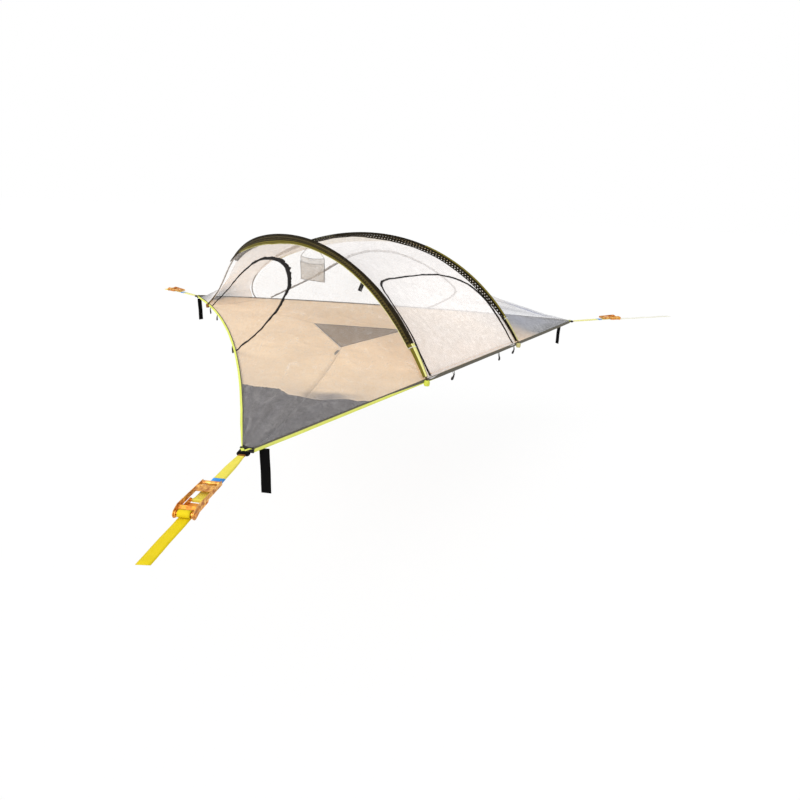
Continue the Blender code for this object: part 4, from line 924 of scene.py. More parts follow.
def sheet_object(name, sheet, mat, thickness=0.0):
    table, triangles = sheet
    marks = {"mark": table[:, MARK], "fold": table[:, FOLD_AND_SHADE]}
    obj = mesh_object(name, table[:, XYZ], triangles, mat, table[:, UV], marks)
    if thickness:
        thicken(obj, thickness)
    return obj


def redress(obj, mat):
    obj.data.materials.clear()
    obj.data.materials.append(mat)


def crumple(points, scale, seed):
    return np.array([noise.noise(Vector(point) * scale + Vector((seed, 0.0, 0.0))) for point in points])


def ridges(points, scale, seed):
    """Sharp little creases, from 0 to 1."""
    return 1 - np.minimum(np.abs(crumple(points, scale, seed)) * 5, 1)


def gathers(points, name, count, reach):
    """Folds that run out of a corner: their height from -1 to 1, fading with distance, and that fading."""
    away = points - corner(name)
    distance = np.linalg.norm(away, axis=1)
    lateral = across_of(name)
    angle = np.arctan2(away @ lateral, -(away @ outward(name))) + away[:, 2] / np.maximum(distance, 1e-6)
    fading = np.exp(-((distance / reach) ** 1.3)) * np.clip(distance / 0.12, 0, 1)
    wobble = crumple(points, 3.0, 4.0) * 1.4
    return np.sin(angle * count + wobble) * fading, fading


# Swept pieces


def swept(line, side, up, section, closed=False):
    """Points, faces and UV of a closed section carried along a line; section is (x, z) rows in side and up.

    Side and up are one direction for the whole line, or one for each of its points."""
    line, section = np.asarray(line, float), np.asarray(section, float)
    side, up = (np.broadcast_to(np.asarray(value, float), line.shape) for value in (side, up))
    if section.ndim == 2:
        section = np.broadcast_to(section, (len(line), *section.shape))
    steps, around = section.shape[:2]
    points = line[:, None] + side[:, None] * section[:, :, :1] + up[:, None] * section[:, :, 1:]
    reach = reach_along(line)
    uv = np.stack([np.broadcast_to(reach[:, None], (steps, around)), section[:, :, 0]], -1)
    index = np.arange(steps * around).reshape(steps, around)
    rings = steps if closed else steps - 1
    faces = []
    for step in range(rings):
        here, there = index[step], index[(step + 1) % steps]
        for place in range(around):
            following = (place + 1) % around
            faces.append((here[place], here[following], there[following], there[place]))
    if not closed:
        faces.append(tuple(index[0][::-1]))
        faces.append(tuple(index[-1]))
    return points.reshape(-1, 3), faces, uv.reshape(-1, 2)


def flat_section(width, thickness):
    """A flat band's section with rounded edges."""
    half, thick = width / 2, thickness / 2
    edge = half - thick
    shoulder = edge + thick * 0.29
    lower = [(-half, 0.0), (-shoulder, -thick * 0.71)]
    lower += [(edge * share, -thick) for share in (-1.0, -0.5, 0.0, 0.5, 1.0)]
    lower = np.array([*lower, (shoulder, -thick * 0.71)])
    return np.concatenate([lower, -lower])


def round_section(radius, count=12):
    turns = np.arange(count) / count * 2 * math.pi
    return np.stack([np.cos(turns), np.sin(turns)], 1) * radius


def tangents(line):
    return unit(np.gradient(np.asarray(line, float), axis=0))


def carried_frames(line, first):
    """Side and up directions carried along a line without twist."""
    tangent = tangents(line)
    side, sides = np.asarray(first, float), []
    for direction in tangent:
        side = unit(side - (side @ direction) * direction)
        sides.append(side)
    sides = np.array(sides)
    return sides, np.cross(tangent, sides)


def swept_object(name, line, side, up, section, mat, closed=False):
    points, faces, uv = swept(line, side, up, section, closed)
    return mesh_object(name, points, faces, mat, uv)


def tube_object(name, line, radius, mat, count=10, closed=False):
    line = np.asarray(line, float)
    tangent = line[1] - line[0]
    first = np.cross(tangent, UP if abs(tangent[2]) < 0.9 * np.linalg.norm(tangent) else X_AXIS)
    side, up = carried_frames(line, first)
    radii = np.broadcast_to(np.asarray(radius, float), (len(line),))
    section = round_section(1.0, count)[None] * radii[:, None, None]
    return swept_object(name, line, side, up, section, mat, closed)


def built_mesh(name, bm, mat):
    """A mesh from what was built in bm, which is freed."""
    mesh = bpy.data.meshes.new(name)
    bm.to_mesh(mesh)
    bm.free()
    mesh.materials.append(mat)
    return mesh


def joined(name, objects):
    """One object from several, their materials kept."""
    mesh = bpy.data.meshes.new(name)
    bm = bmesh.new()
    mats = []
    for obj in objects:
        lowest = len(bm.faces)
        bm.from_mesh(obj.data)
        bm.faces.ensure_lookup_table()
        for face in bm.faces[lowest:]:
            mat = obj.data.materials[face.material_index]
            if mat not in mats:
                mats.append(mat)
            face.material_index = mats.index(mat)
        bpy.data.objects.remove(obj, do_unlink=True)
    bm.to_mesh(mesh)
    bm.free()
    for mat in mats:
        mesh.materials.append(mat)
    return linked(name, mesh)


def finished(obj, body, replaced=()):
    """Puts a piece on its body and the nodes that it takes the place of."""
    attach(obj, body)
    if replaced:
        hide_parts(*replaced)


# Canopy, doors and zips


def refined(grid, across, down, crease=None):
    """The grid with more columns and rows, smooth but for a crease that grows towards the last row."""
    smooth = smooth_through(grid, across)
    if crease is not None:
        parts = [smooth_through(grid[: crease + 1], across)[:-1], smooth_through(grid[crease:], across)]
        creased = np.concatenate(parts)
        weight = (np.linspace(0.0, 1.0, grid.shape[1]) ** 4)[None, :, None]
        smooth = smooth * (1 - weight) + creased * weight
    return smooth_through(smooth.transpose(1, 0, 2), down).transpose(1, 0, 2)


def border_fade(shape, width):
    """0 at a grid's border and 1 from that many steps inside it."""
    column, row = np.meshgrid(*(np.arange(count) for count in shape), indexing="ij")
    nearest = np.minimum.reduce([column, row, shape[0] - 1 - column, shape[1] - 1 - row])
    return np.clip(nearest / width, 0, 1).ravel()


def canopy_sheet(grid, plane, seed):
    """A canopy's sheet with its creases and its gathers at the corners, whose fold values thicken the net and paint
    shade into it along the folds and toward the corners.
    """
    start, along, slope, _, _ = plane
    uv = np.stack([(grid - start) @ along, (grid - start) @ slope], -1)
    sheet = grid_sheet(grid, uv)
    table, _ = sheet
    fade = border_fade(grid.shape[:2], 5)
    points = table[:, XYZ].copy()
    push = crumple(points, 2.2, seed) * 0.010 + ridges(points, 4.0, seed + 5) * 0.004
    push += ridges(points * np.array([1.0, 1.0, 0.5]), 9.0, seed + 9) * 0.0022
    for name, count, reach, veil in CANOPY_GATHERS:
        folds, fading = gathers(points, name, count, reach)
        push += folds * 0.013
        # Fold values rise along the folds' ridges and toward the corner: denser net and painted shade.
        table[:, FOLD_AND_SHADE] += (np.clip(folds, 0, 1) * 0.55 + fading * 0.35) * veil
    table[:, XYZ] += sheet_normals(sheet) * (push * fade)[:, None]
    return sheet


def door_line(width, shares):
    """A door's outline in its flat frame, smooth, from the shares of its width."""
    return smooth_through(np.array(shares) * width, 12)


def signed_depth(points, line):
    """How far each (u, v) point lies inside a door's line; negative outside it."""
    below = np.array([0.0, -0.3])
    ring = np.concatenate([[line[0] + below], line, [line[-1] + below]])
    starts, ends = ring[:-1], ring[1:]
    steps = ends - starts
    lengths = (steps**2).sum(1)
    away = points[:, None] - starts[None]
    shares = np.clip((away * steps).sum(2) / lengths, 0, 1)
    distance = np.linalg.norm(away - shares[:, :, None] * steps, axis=2).min(1)
    crossings = np.zeros(len(points), int)
    for (x0, y0), (x1, y1) in zip(ring, np.roll(ring, -1, axis=0)):
        spans = (y0 > points[:, 1]) != (y1 > points[:, 1])
        rise = y1 - y0 if y1 != y0 else 1e-12
        crossings += spans & (points[:, 0] < (x1 - x0) * (points[:, 1] - y0) / rise + x0)
    return np.where(crossings % 2 == 1, distance, -distance)


def split_door(sheet, plane, shares, tip_cut):
    """The panel round the door and the door flap, the flap marked along its edge and cut off at its first tip."""
    table, _ = sheet
    line = door_line(plane[4], shares)
    depth = signed_depth(table[:, UV], line)
    level = table[:, UV][:, 1] - DOOR_SILL
    panel = clipped(sheet, -np.minimum(depth + ZIP_OVERLAP, level))
    edge = np.minimum(depth, level - DOOR_HINGE_GAP)
    flap_table = table.copy()
    flap_table[:, MARK] = edge
    if tip_cut:
        rising = line[: np.argmax(line[:, 1])]
        tip = np.interp(DOOR_SILL + DOOR_HINGE_GAP, rising[:, 1], rising[:, 0])
        edge = np.minimum(edge, table[:, UV][:, 0] - tip - tip_cut)
    return panel, clipped((flap_table, sheet[1]), edge - BAND_EDGE), line


def surface_mapper(sheet, plane):
    """Places a (u, v) point of the door's frame on the cloth, with the cloth's outward normal."""
    table, triangles = sheet
    tree = BVHTree.FromPolygons([Vector(p) for p in table[:, XYZ]], [tuple(map(int, t)) for t in triangles])
    start, along, slope, out, _ = plane

    def place(u, v):
        point = start + along * u + slope * v
        hit, normal, _, _ = tree.ray_cast(Vector(point + out * 2), Vector(-out))
        if hit is None:
            hit, normal, _, _ = tree.find_nearest(Vector(point))
        hit, normal = np.array(hit), np.array(normal)
        return hit, normal if normal @ out > 0 else -normal

    return place


def zip_object(name, sheet, plane, line, width_at, lump, mats):
    """The zip round a door: a bulging tape on the panel's side, with two rows of teeth at its inner edge."""
    place = surface_mapper(sheet, plane)
    flat = np.concatenate([line, np.zeros((len(line), 1))], 1)
    fine = spread(flat, int(reach_along(flat)[-1] / ZIP_STEP))[:, :2]
    fine = fine[fine[:, 1] > ZIP_FOOT]
    heading = tangents(fine)
    outside = np.stack([-heading[:, 1], heading[:, 0]], 1)
    middle = np.array([line[:, 0].mean(), line[:, 1].mean()])
    if ((fine - middle) * outside).sum(1).mean() < 0:
        outside = -outside
    columns = []
    for number, (point, normal) in enumerate(zip(fine, outside)):
        share = number / (len(fine) - 1)
        lumps = noise.noise(Vector((*point, 3.0)) * 30) + 0.6 * noise.noise(Vector((*point, 5.0)) * 70)
        wide = width_at(share) * (1 + lump * lumps)
        shift = lump * 0.004 * noise.noise(Vector((*point, 9.0)) * 15)
        row = []
        for across, height in ZIP_PROFILE:
            offset = shift + across * wide
            spot, face = place(*(point + normal * offset))
            row.append(spot + face * (height * (0.75 + wide * 16)))
        columns.append(row)
    grid = np.array(columns)
    lengths = reach_along(grid[:, 0])
    uv = uv_grid(lengths[:, None], np.array(ZIP_PROFILE)[None, :, 0] * 0.02)
    tape = sheet_object(name + "_tape", grid_sheet(grid, uv), mats["zip"])
    bm = bmesh.new()
    spots = spread(np.concatenate([fine, np.zeros((len(fine), 1))], 1), int(lengths[-1] / TOOTH_PITCH))[:, :2]
    long, wide, high = TOOTH_SIZE
    for number, (point, direction) in enumerate(zip(spots, tangents(spots))):
        seat, face = place(*point)
        ahead, _ = place(*(point + direction * 0.004))
        tangent = unit(ahead - seat)
        across = np.cross(face, tangent)
        centre = seat + across * (TOOTH_STAGGER if number % 2 else -TOOTH_STAGGER) + face * high
        bmesh.ops.create_cube(bm, size=1.0, matrix=frame_matrix(tangent * long, across * wide, face * high, centre))
    return tape, linked(name + "_teeth", built_mesh(name + "_teeth", bm, mats["teeth"]))


def mirror_object(obj, name):
    """A copy mirrored in the upright plane through corner b."""
    mesh = obj.data.copy()
    mesh.name = name
    for vert in mesh.vertices:
        vert.co = mirrored(np.array(vert.co))
    mesh.flip_normals()
    return linked(name, mesh)


def finish_door(panel, flap, tape, teeth, canopy, side, hinge):
    """Puts a door's panel, zip tape and teeth on the tent's body; the flap stays unattached, its place baked into
    its mesh.
    """
    finished(panel, "tent", [canopy])
    finished(tape, "tent", [f"door_zip_{side}"])
    finished(teeth, "tent")
    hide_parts(f"door_{side}")
    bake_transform(flap)


def refold(obj, change):
    """Changes a piece's fold values, which also carry painted shade, given them and its points."""
    fold = obj.data.attributes["fold"].data
    values = np.array([item.value for item in fold])
    points = np.array([vert.co for vert in obj.data.vertices])
    fold.foreach_set("value", change(values, points).astype(np.float32))


def weaker_fold_and_shade_low(values, points):
    """The far nets' folds and their painted shade are hardly seen low down."""
    return values * np.interp(points[:, 2], (0.03, 0.13), (0.15, 1.0))


def clear_at_tie(values, points):
    """The near net is clearest where the door tie hangs behind it."""
    away = np.linalg.norm(points - TIE_SEEN_AT, axis=1)
    return values * 0.3 - 2.2 * np.exp(-((away / 0.085) ** 2))



def door_hinge(plane):
    """A point of the door's hinge line and the way up the door from it."""
    return np.array([plane[0] + plane[2] * (DOOR_SILL + DOOR_HINGE_GAP), plane[2]])


def sheet_grid(sheet):
    """A canopy sheet's points again as grid[column][row]."""
    return sheet[0][:, XYZ].reshape(CANOPY_COLUMNS * REFINE_ACROSS + 1, -1, 3)


def side_door_width(share):
    """The zip is bunched up round the door's high corner and thin towards its feet."""
    return 0.0185 + 0.0110 * math.exp(-(((share - 0.56) / 0.20) ** 2)) - 0.004 * abs(2 * share - 1) ** 4


def make_side_canopies(mats):
    """The nets beyond the two poles, the far one a mirrored copy; returns the near one's points."""
    coarse = side_canopy_grid()
    reach = coarse[round(CANOPY_COLUMNS * SIDE_DOOR_REACH_SHARE)][0]
    plane = door_plane("b", "a", *SIDE_DOOR_SHARES, reach)
    sheet = canopy_sheet(refined(coarse, REFINE_ACROSS, 10, CORNER_COLUMN), plane, 1.0)
    panel, flap, line = split_door(sheet, plane, SIDE_DOOR_LINE, SIDE_DOOR_TIP_CUT)
    near = [sheet_object("canopy_ab_cloth", panel, mats["net"]), sheet_object("door_ab_cloth", flap, mats["door"])]
    near += zip_object("door_zip_ab", sheet, plane, line, side_door_width, SIDE_ZIP_LUMPS, mats)
    far = [mirror_object(piece, piece.name.replace("_ab", "_bc")) for piece in near]
    for piece, mat in zip(far, ("net_far", "net_far", "zip_far", "zip_far")):
        redress(piece, mats[mat])
    for piece in far[:2]:
        refold(piece, weaker_fold_and_shade_low)
    for piece in near[:2]:
        refold(piece, clear_at_tie)
    hinge = door_hinge(plane)
    finish_door(*near, "canopy_ab", "ab", hinge)
    finish_door(*far, "canopy_bc", "bc", mirrored(hinge))
    return sheet_grid(sheet)


def make_middle_canopy(mats):
    """The net between the poles with the front door; returns its points."""
    coarse = middle_canopy_grid()
    reach = coarse[round(CANOPY_COLUMNS * FRONT_DOOR_REACH_SHARE)][MIDDLE_ROWS // 2]
    plane = door_plane("a", "c", *FRONT_DOOR_SHARES, reach)
    sheet = canopy_sheet(refined(coarse, REFINE_ACROSS, 7), plane, 7.0)
    table = sheet[0]
    # Painted shade: the net is darkened, and a little thickened, toward its top, along its lower edge and toward
    # corner b.
    table[:, FOLD_AND_SHADE] += 0.24 * np.clip((table[:, 2] - 0.36) / 0.3, 0, 1)
    table[:, FOLD_AND_SHADE] += 0.22 * np.exp(-((table[:, UV][:, 1] / 0.04) ** 2))
    away = np.linalg.norm(table[:, XYZ] - corner("b"), axis=1)
    table[:, FOLD_AND_SHADE] += np.clip(1.25 - away / 0.56, 0, 1)
    panel, flap, line = split_door(sheet, plane, FRONT_DOOR_LINE, 0.0)
    cloth_piece = sheet_object("canopy_middle_cloth", panel, mats["net_middle"])
    front_flap = sheet_object("door_ac_cloth", flap, mats["door_middle"])
    zip_pieces = zip_object("door_zip_ac", sheet, plane, line, lambda share: FRONT_ZIP_WIDTH, FRONT_ZIP_LUMPS, mats)
    finish_door(cloth_piece, front_flap, *zip_pieces, "canopy_middle", "ac", door_hinge(plane))
    return sheet_grid(sheet)


def make_canopy(mats):
    """All nets with their doors and zips; returns the cloth beside each pole, outside and inside."""
    outer, middle = make_side_canopies(mats), make_middle_canopy(mats)
    return {
        "near": (skirt(outer), skirt(middle)),
        "far": (mirrored(skirt(outer)), skirt(middle[:, ::-1])),
    }


# Floor


def floor_ring(count, inner):
    """One point for each column, once round from corner a: the hatch's edge, or just inside the hems."""
    ring = []
    for first, second in SIDES:
        for share in np.linspace(0.0, 1.0, count // 3):
            if inner:
                share = HATCH_CORNER_SHARE + share * (1 - 2 * HATCH_CORNER_SHARE)
                start, end = (outward(name) * (HATCH_RADIUS + 0.0006) for name in (first, second))
                ring.append(start * (1 - share) + end * share + UP * HATCH_HEIGHT)
            else:
                place = HEM_TRIM_SHARE + share * (1 - 2 * HEM_TRIM_SHARE)
                lean = float(hem_lean(first, second, place))
                out = hem_normal(first, second)
                down = out * math.sin(lean) - UP * math.cos(lean)
                inward = -out * math.cos(lean) - UP * math.sin(lean)
                middle = hem_point(first, second, place) + (UP + down) * (HEM_HEIGHT / 2)
                ring.append(middle + inward * (HEM_THICKNESS / 2 + 0.0009))
    return np.array(ring)


def floor_grid():
    """The floor round the hatch: column once round, row outward, with a kink at each corner."""
    grid = ruled(floor_ring(FLOOR_COLUMNS, True), floor_ring(FLOOR_COLUMNS, False), FLOOR_ROWS)
    closed = np.concatenate([grid[-1:], grid, grid[:1]])
    for _ in range(RELAX_ROUNDS):
        closed[1:-1, 1:-1] = neighbour_mean(closed)
        closed[0], closed[-1] = closed[-2], closed[1]
    grid = closed[1:-1]
    sides = []
    per_side = FLOOR_COLUMNS // 3
    for side in range(3):
        part = grid[side * per_side : (side + 1) * per_side]
        part = np.concatenate([part, grid[[(side + 1) * per_side % FLOOR_COLUMNS]]])
        sides.append(smooth_through(part[:-1], 8))
        sides.append(ruled(part[-2], part[-1], 2).transpose(1, 0, 2)[1:2])
    return smooth_through(np.concatenate([*sides, sides[0][:1]]).transpose(1, 0, 2), 9).transpose(1, 0, 2)


def floor_sheet():
    """The whole floor with its soft waves and the seams to its corners, and its points before the waves."""
    grid = floor_grid()
    sheet = grid_sheet(grid, grid[:, :, :2].copy())
    table, _ = sheet
    points = table[:, XYZ].copy()
    rows = np.broadcast_to(np.arange(grid.shape[1]), grid.shape[:2]).ravel()
    fade = np.clip(np.minimum(rows, grid.shape[1] - 1 - rows) / 4, 0, 1)
    push = crumple(points, 1.3, 21.0) * 0.012 + ridges(points, 2.6, 23.0) * 0.005 - 0.004
    for name in "abc":
        push += gathers(points, name, 22, 0.5)[0] * 0.010
        away, beside = points @ outward(name), points @ across_of(name)
        groove = np.exp(-((np.abs(beside) / SEAM_HALF_WIDTH) ** 2)) * (away > HATCH_RADIUS) * (away < SEAM_END)
        push -= groove * 0.0035
        table[:, MARK] = np.maximum(table[:, MARK], groove * 0.42 * np.exp(-(away - HATCH_RADIUS) / 0.5))
    table[:, 2] += push * fade
    return sheet, points


def beyond_seam(points, name):
    """How far points lie beyond the wavy seam of a grey corner, negative on the floor's side."""
    lateral = points @ across_of(name)
    size, rate, phase = FLOOR_WAVES[name]
    wave = size * (np.sin(lateral * rate + phase) + 0.6 * np.sin(lateral * rate * 2.7 + phase * 2))
    wave += size * 0.6 * crumple(points, 12.0, 31.0) + (0.0 if name == "a" else 0.085)
    wave += 0.014 * crumple(points, 28.0, 33.0)
    return points @ outward(name) - CORNER_PANEL_RADIUS - wave


def floor_shade(points):
    """Painted shade on the floor: a dark tone toward corner c and a veil of it toward corner a, with a patch of
    that tone beside corner a where the grey corner cloth reaches further.
    """
    away = points @ outward("c") + 0.04 * crumple(points, 9.0, 35.0)
    near = points @ outward("a") + 0.02 * crumple(points, 12.0, 37.0)
    veil = np.interp(near, (0.95, 1.30, 1.60), (0.0, 0.13, 0.24))
    patch = np.exp(-(((points @ across_of("a") - 0.19) / 0.16) ** 2))
    veil += 0.6 * patch * np.clip((near - 1.50) / 0.05, 0, 1)
    shade = np.interp(away, (1.28, 1.40, 1.54, 1.68), (0.0, 0.3, 0.42, 1.0))
    return np.maximum(shade, np.minimum(veil, 1.0))


def make_floor(mats):
    """The floor and its three grey corners, each cut from one sheet along a wavy seam."""
    sheet, points = floor_sheet()
    furthest = None
    for name in "abc":
        beyond = beyond_seam(points, name)
        cut = clipped(sheet, beyond)
        if name == "b":
            cut[0][:, MARK] = np.clip((PALE_TIP_FROM - cut[0][:, XYZ] @ outward(name)) / 0.02, 0, 1)
        panel = sheet_object(f"corner_panel_{name}_cloth", cut, mats[CORNER_LOOKS[name]], CLOTH)
        finished(panel, "tent", [f"corner_panel_{name}"])
        furthest = beyond if furthest is None else np.maximum(furthest, beyond)
    # The floor's fold column carries only its painted shade.
    sheet[0][:, FOLD_AND_SHADE] = floor_shade(points)
    bed = clipped(sheet, -furthest)
    floor = sheet_object("floor_cloth", bed, mats["floor"], CLOTH)
    finished(floor, "tent", ["floor_panel"])


def make_hatch(mats):
    """The dark three-cornered flap in the floor, with a drooping edge seam."""
    corners = [outward(name) * (HATCH_RADIUS - 0.004) for name in "acb"]
    steps = HATCH_STEPS
    table, index = [], {}
    for i in range(steps + 1):
        for j in range(steps + 1 - i):
            weights = np.array([steps - i - j, i, j]) / steps
            point = sum(weight * place for weight, place in zip(weights, corners))
            edge = weights.min() * HATCH_RADIUS * 1.5
            droop = -0.010 * (weights[0] * weights[1] * weights[2] * 27) ** 0.6
            rumple = 0.004 * noise.noise(Vector(point) * 7) * min(1.0, edge / 0.05)
            index[i, j] = len(table)
            point = point + UP * (HATCH_HEIGHT + droop + rumple)
            table.append([*point, point[0], point[1], 0.75 if edge < 0.012 else 0.0, 0.0])
    triangles = []
    for i in range(steps):
        for j in range(steps - i):
            triangles.append((index[i, j], index[i + 1, j], index[i, j + 1]))
            if j < steps - i - 1:
                triangles.append((index[i + 1, j], index[i + 1, j + 1], index[i, j + 1]))
    sheet = np.array(table), np.array(triangles)
    hatch = sheet_object("floor_hatch_cloth", sheet, mats["hatch"], HATCH_CLOTH)
    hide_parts("floor_hatch")
    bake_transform(hatch)


# Hems and straps of the tent


def make_hem(name, first, second, mat, mats):
    """A hem's webbing, its lower edge splayed outward, its inner face bound in dark tape."""
    low = HEM_TRIM_SHARE * HEM_END_SHARE
    shares = np.linspace(low, 1 - low, 161)
    line = np.array([hem_point(first, second, share) for share in shares])
    out = np.array([local_normal(first, second, share) for share in shares])
    line = line + out * (crumple(line, 5.0, 41.0) * 0.0012)[:, None] + UP * HEM_HEIGHT / 2
    ease = hem_lean(first, second, shares)[:, None]
    side = UP * np.cos(ease) - out * np.sin(ease)
    up = out * np.cos(ease) + UP * np.sin(ease)
    section = flat_section(HEM_HEIGHT, HEM_THICKNESS) - np.array([HEM_HEIGHT / 2, 0.0])
    points, faces, uv = swept(line, side, up, section)
    uv[:, 1] += HEM_HEIGHT / 2
    inner = [number % 16 < 8 for number in range(len(faces))]
    obj = mesh_object(name + "_web", points, faces, [mat, mats["hem_inside"]], uv, slots=inner)
    finished(obj, "tent", [name])


def make_roll_strap(name, mat):
    """A strap under the floor that keeps the tent from rolling, from its middle to a corner."""
    inner = outward(name) * (HATCH_RADIUS + ROLL_STRAP_WIDTH / 2)
    outer = outward(name) * (CORNER_RADIUS - CORNER_CUT - 0.010)
    shares = np.linspace(0.0, 1.0, 60)[:, None]
    line = inner * (1 - shares) + outer * shares
    line = line + UP * (HATCH_HEIGHT * (1 - shares) - 0.0032)
    section = flat_section(ROLL_STRAP_WIDTH, STRAP_THICKNESS)
    strap = swept_object(f"roll_strap_{name}_web", line, across_of(name), UP, section, mat)
    finished(strap, "tent", [f"roll_strap_{name}"])


def make_tie_straps(mats):
    """The black straps that hang from the hems beside the corners, a little bent as worn webbing is."""
    slant = SIDE_HEM_RISE * 4 / SIDE_LENGTH * HEM_THICKNESS
    drop = HEM_HEIGHT / 2 + CLEARANCE + slant + STRAP_THICKNESS / 2
    shares = np.linspace(0.0, 1.0, 40)
    bend = TIE_STRAP_DROOP * (shares**2) + 0.0012 * np.sin(shares * 9)
    section = flat_section(STRAP_WIDTH, STRAP_THICKNESS)
    for (name, following), hem in zip(SIDES, ("hem_ac", "hem_bc", "hem_ab")):
        top = hem_point(name, following, TIE_STRAP_PLACE / SIDE_LENGTH) - UP * drop
        across = across_of(name)
        line = top - UP * (shares * TIE_STRAP_LENGTH)[:, None] + np.cross(across, UP) * bend[:, None]
        up = np.cross(across, tangents(line))
        web = swept_object(f"tie_strap_{name}_web", line, across, up, section, mats["black"])
        finished(web, f"hanging_strap_{name}", [f"tie_strap_{name}"])


# Corner gear


def corner_matrix(name):
    """A corner's own axes: x outward along its strap from the spool, y across and z up."""
    turn = math.radians(CORNER_DEGREES[name])
    place = outward(name) * (CORNER_RADIUS + SPOOL_DISTANCES[name]) + UP * SPOOL_HEIGHT
    return Matrix.Translation(Vector(place)) @ Matrix.Rotation(turn, 4, "Z")


def arc(centre, radius, start_deg, end_deg, steps):
    turns = np.radians(np.linspace(start_deg, end_deg, steps + 1))
    return [(centre[0] + radius * math.cos(t), centre[1] + radius * math.sin(t)) for t in turns]


def strap_object(name, path, widths, mat, closed=False, slant=0.0):
    """A flat strap along (x, z) points, its width along Y, in a corner's own axes."""
    path = np.asarray(path, float)
    line = np.stack([path[:, 0], np.zeros(len(path)), path[:, 1]], 1)
    tangent = unit(np.roll(line, -1, axis=0) - np.roll(line, 1, axis=0)) if closed else tangents(line)
    section = flat_section(1.0, STRAP_THICKNESS)
    sections = np.broadcast_to(section, (len(line), *section.shape)).copy()
    widths = np.broadcast_to(np.asarray(widths, float), (len(line),))
    edge = (widths - STRAP_THICKNESS)[:, None] / (1.0 - STRAP_THICKNESS)
    sections[:, :, 0] = sections[:, :, 0] * edge
    points, faces, uv = swept(line, Y_AXIS, np.cross(tangent, Y_AXIS), sections, closed)
    if slant:
        last = points.reshape(len(line), -1, 3)[-1]
        last[:, 0] += last[:, 1] * slant
    return mesh_object(name, points, faces, mat, uv)


def winding_path():
    """The tail strap's turns round its spool, from its end in the mandrel's slot."""
    slot_end = MANDREL_RADIUS - STRAP_THICKNESS / 2
    path = [(-slot_end, 0.0), (0.0, 0.0), (slot_end, 0.0)]
    for degrees in np.linspace(*WINDING_DEG, 110):
        radius = WINDING_START + WINDING_PITCH * (degrees - WINDING_DEG[0]) / 360
        turn = math.radians(degrees)
        path.append((radius * math.cos(turn), radius * math.sin(turn)))
    return path


def run_height(x, keeper_x, bolt_x, keeper_z, bolt_z, bar, bolt, rest):
    """The upper run of the short strap, which lies flat but for its flares round the keeper and the bolt."""
    share = (x - keeper_x) / (bolt_x - keeper_x)
    flare_in = max(0.0, 1 - (x - keeper_x) / LOOP_FLARE) ** 2
    flare_out = max(0.0, 1 - (bolt_x - x) / LOOP_FLARE) ** 2
    level = keeper_z + (bolt_z - keeper_z) * share
    return level + rest + (bar - rest) * flare_in + (bolt - rest) * flare_out


def box_ring(centre, size, wall, segments=5):
    """The outline of a flat rounded sleeve round a strap, as (y, z) rows."""
    width, height = size[0] / 2, size[1] / 2
    outline = []
    for sign_y, turn in ((1, 0), (-1, 90), (-1, 180), (1, 270)):
        for step in range(segments + 1):
            angle = math.radians(turn + 90 * step / segments)
            y = sign_y * (width - height) + height * math.cos(angle)
            outline.append((y + wall * math.cos(angle), centre + (height + wall) * math.sin(angle)))
    return np.array(outline)


def wrap_object(name, matrix, low, high, level, size, wall, mat, belly=0.0):
    """A closed cloth sleeve round a strap, between two places along it."""
    steps = 13
    xs = np.linspace(low, high, steps)
    bulge = belly * np.sin(np.linspace(0, math.pi, steps)) ** 0.5
    sections = np.array([box_ring(level, size, wall + swell) for swell in bulge])
    obj = swept_object(name, np.stack([xs, 0 * xs, 0 * xs], 1), Y_AXIS, UP, sections, mat)
    obj.data.transform(matrix)
    return obj


def make_corner_tip(name, matrix, mats):
    """The webbing of the two hems crossed over the keeper, the elastic wrap beyond it, and the blue tag."""
    tip = -SPOOL_DISTANCES[name] - TIP_BACK
    back = -SPOOL_DISTANCES[name] - CORNER_CUT - 0.004
    shares = np.linspace(0.0, 1.0, 16)
    for sign in (-1, 1):
        y = sign * (TIP_HALF_SPANS[0] * (1 - shares) + TIP_HALF_SPANS[1] * shares)
        x = back + (tip - back) * shares
        z = -SPOOL_HEIGHT + 0.0035 + 0.0058 * np.sin(np.clip(shares * 1.6, 0, 1) * math.pi / 2) + 0.001 * (sign > 0)
        line = np.stack([x, y, z], 1)
        tangent = tangents(line)
        side = unit(np.cross(UP, tangent))
        label = f"corner_tip_{name}_{'left' if sign < 0 else 'right'}"
        web = swept_object(label, line, side, np.cross(tangent, side), flat_section(*TIP_BAND), mats["hem"])
        web.data.transform(matrix)
        finished(web, "tent")
    ends, level = (tip - 0.002, tip + 0.022), -SPOOL_HEIGHT + 0.001
    wrap = wrap_object(f"corner_wrap_{name}", matrix, *ends, level, (0.050, 0.009), 0.002, mats["black"], 0.003)
    finished(wrap, "tent")
    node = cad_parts[f"strap_band_{name}"]
    box = np.array([matrix.inverted() @ (node.matrix_world @ v.co) for v in node.data.vertices])
    low, high = box.min(0), box.max(0)
    size = (high[1] - low[1], (high[2] - low[2]) * 0.9)
    middle = (high[2] + low[2]) / 2
    tag = wrap_object(f"strap_band_{name}_tag", matrix, low[0] - 0.0100, high[0], middle, size, 0.0, mats["blue"])
    finished(tag, "tent", [f"strap_band_{name}"])


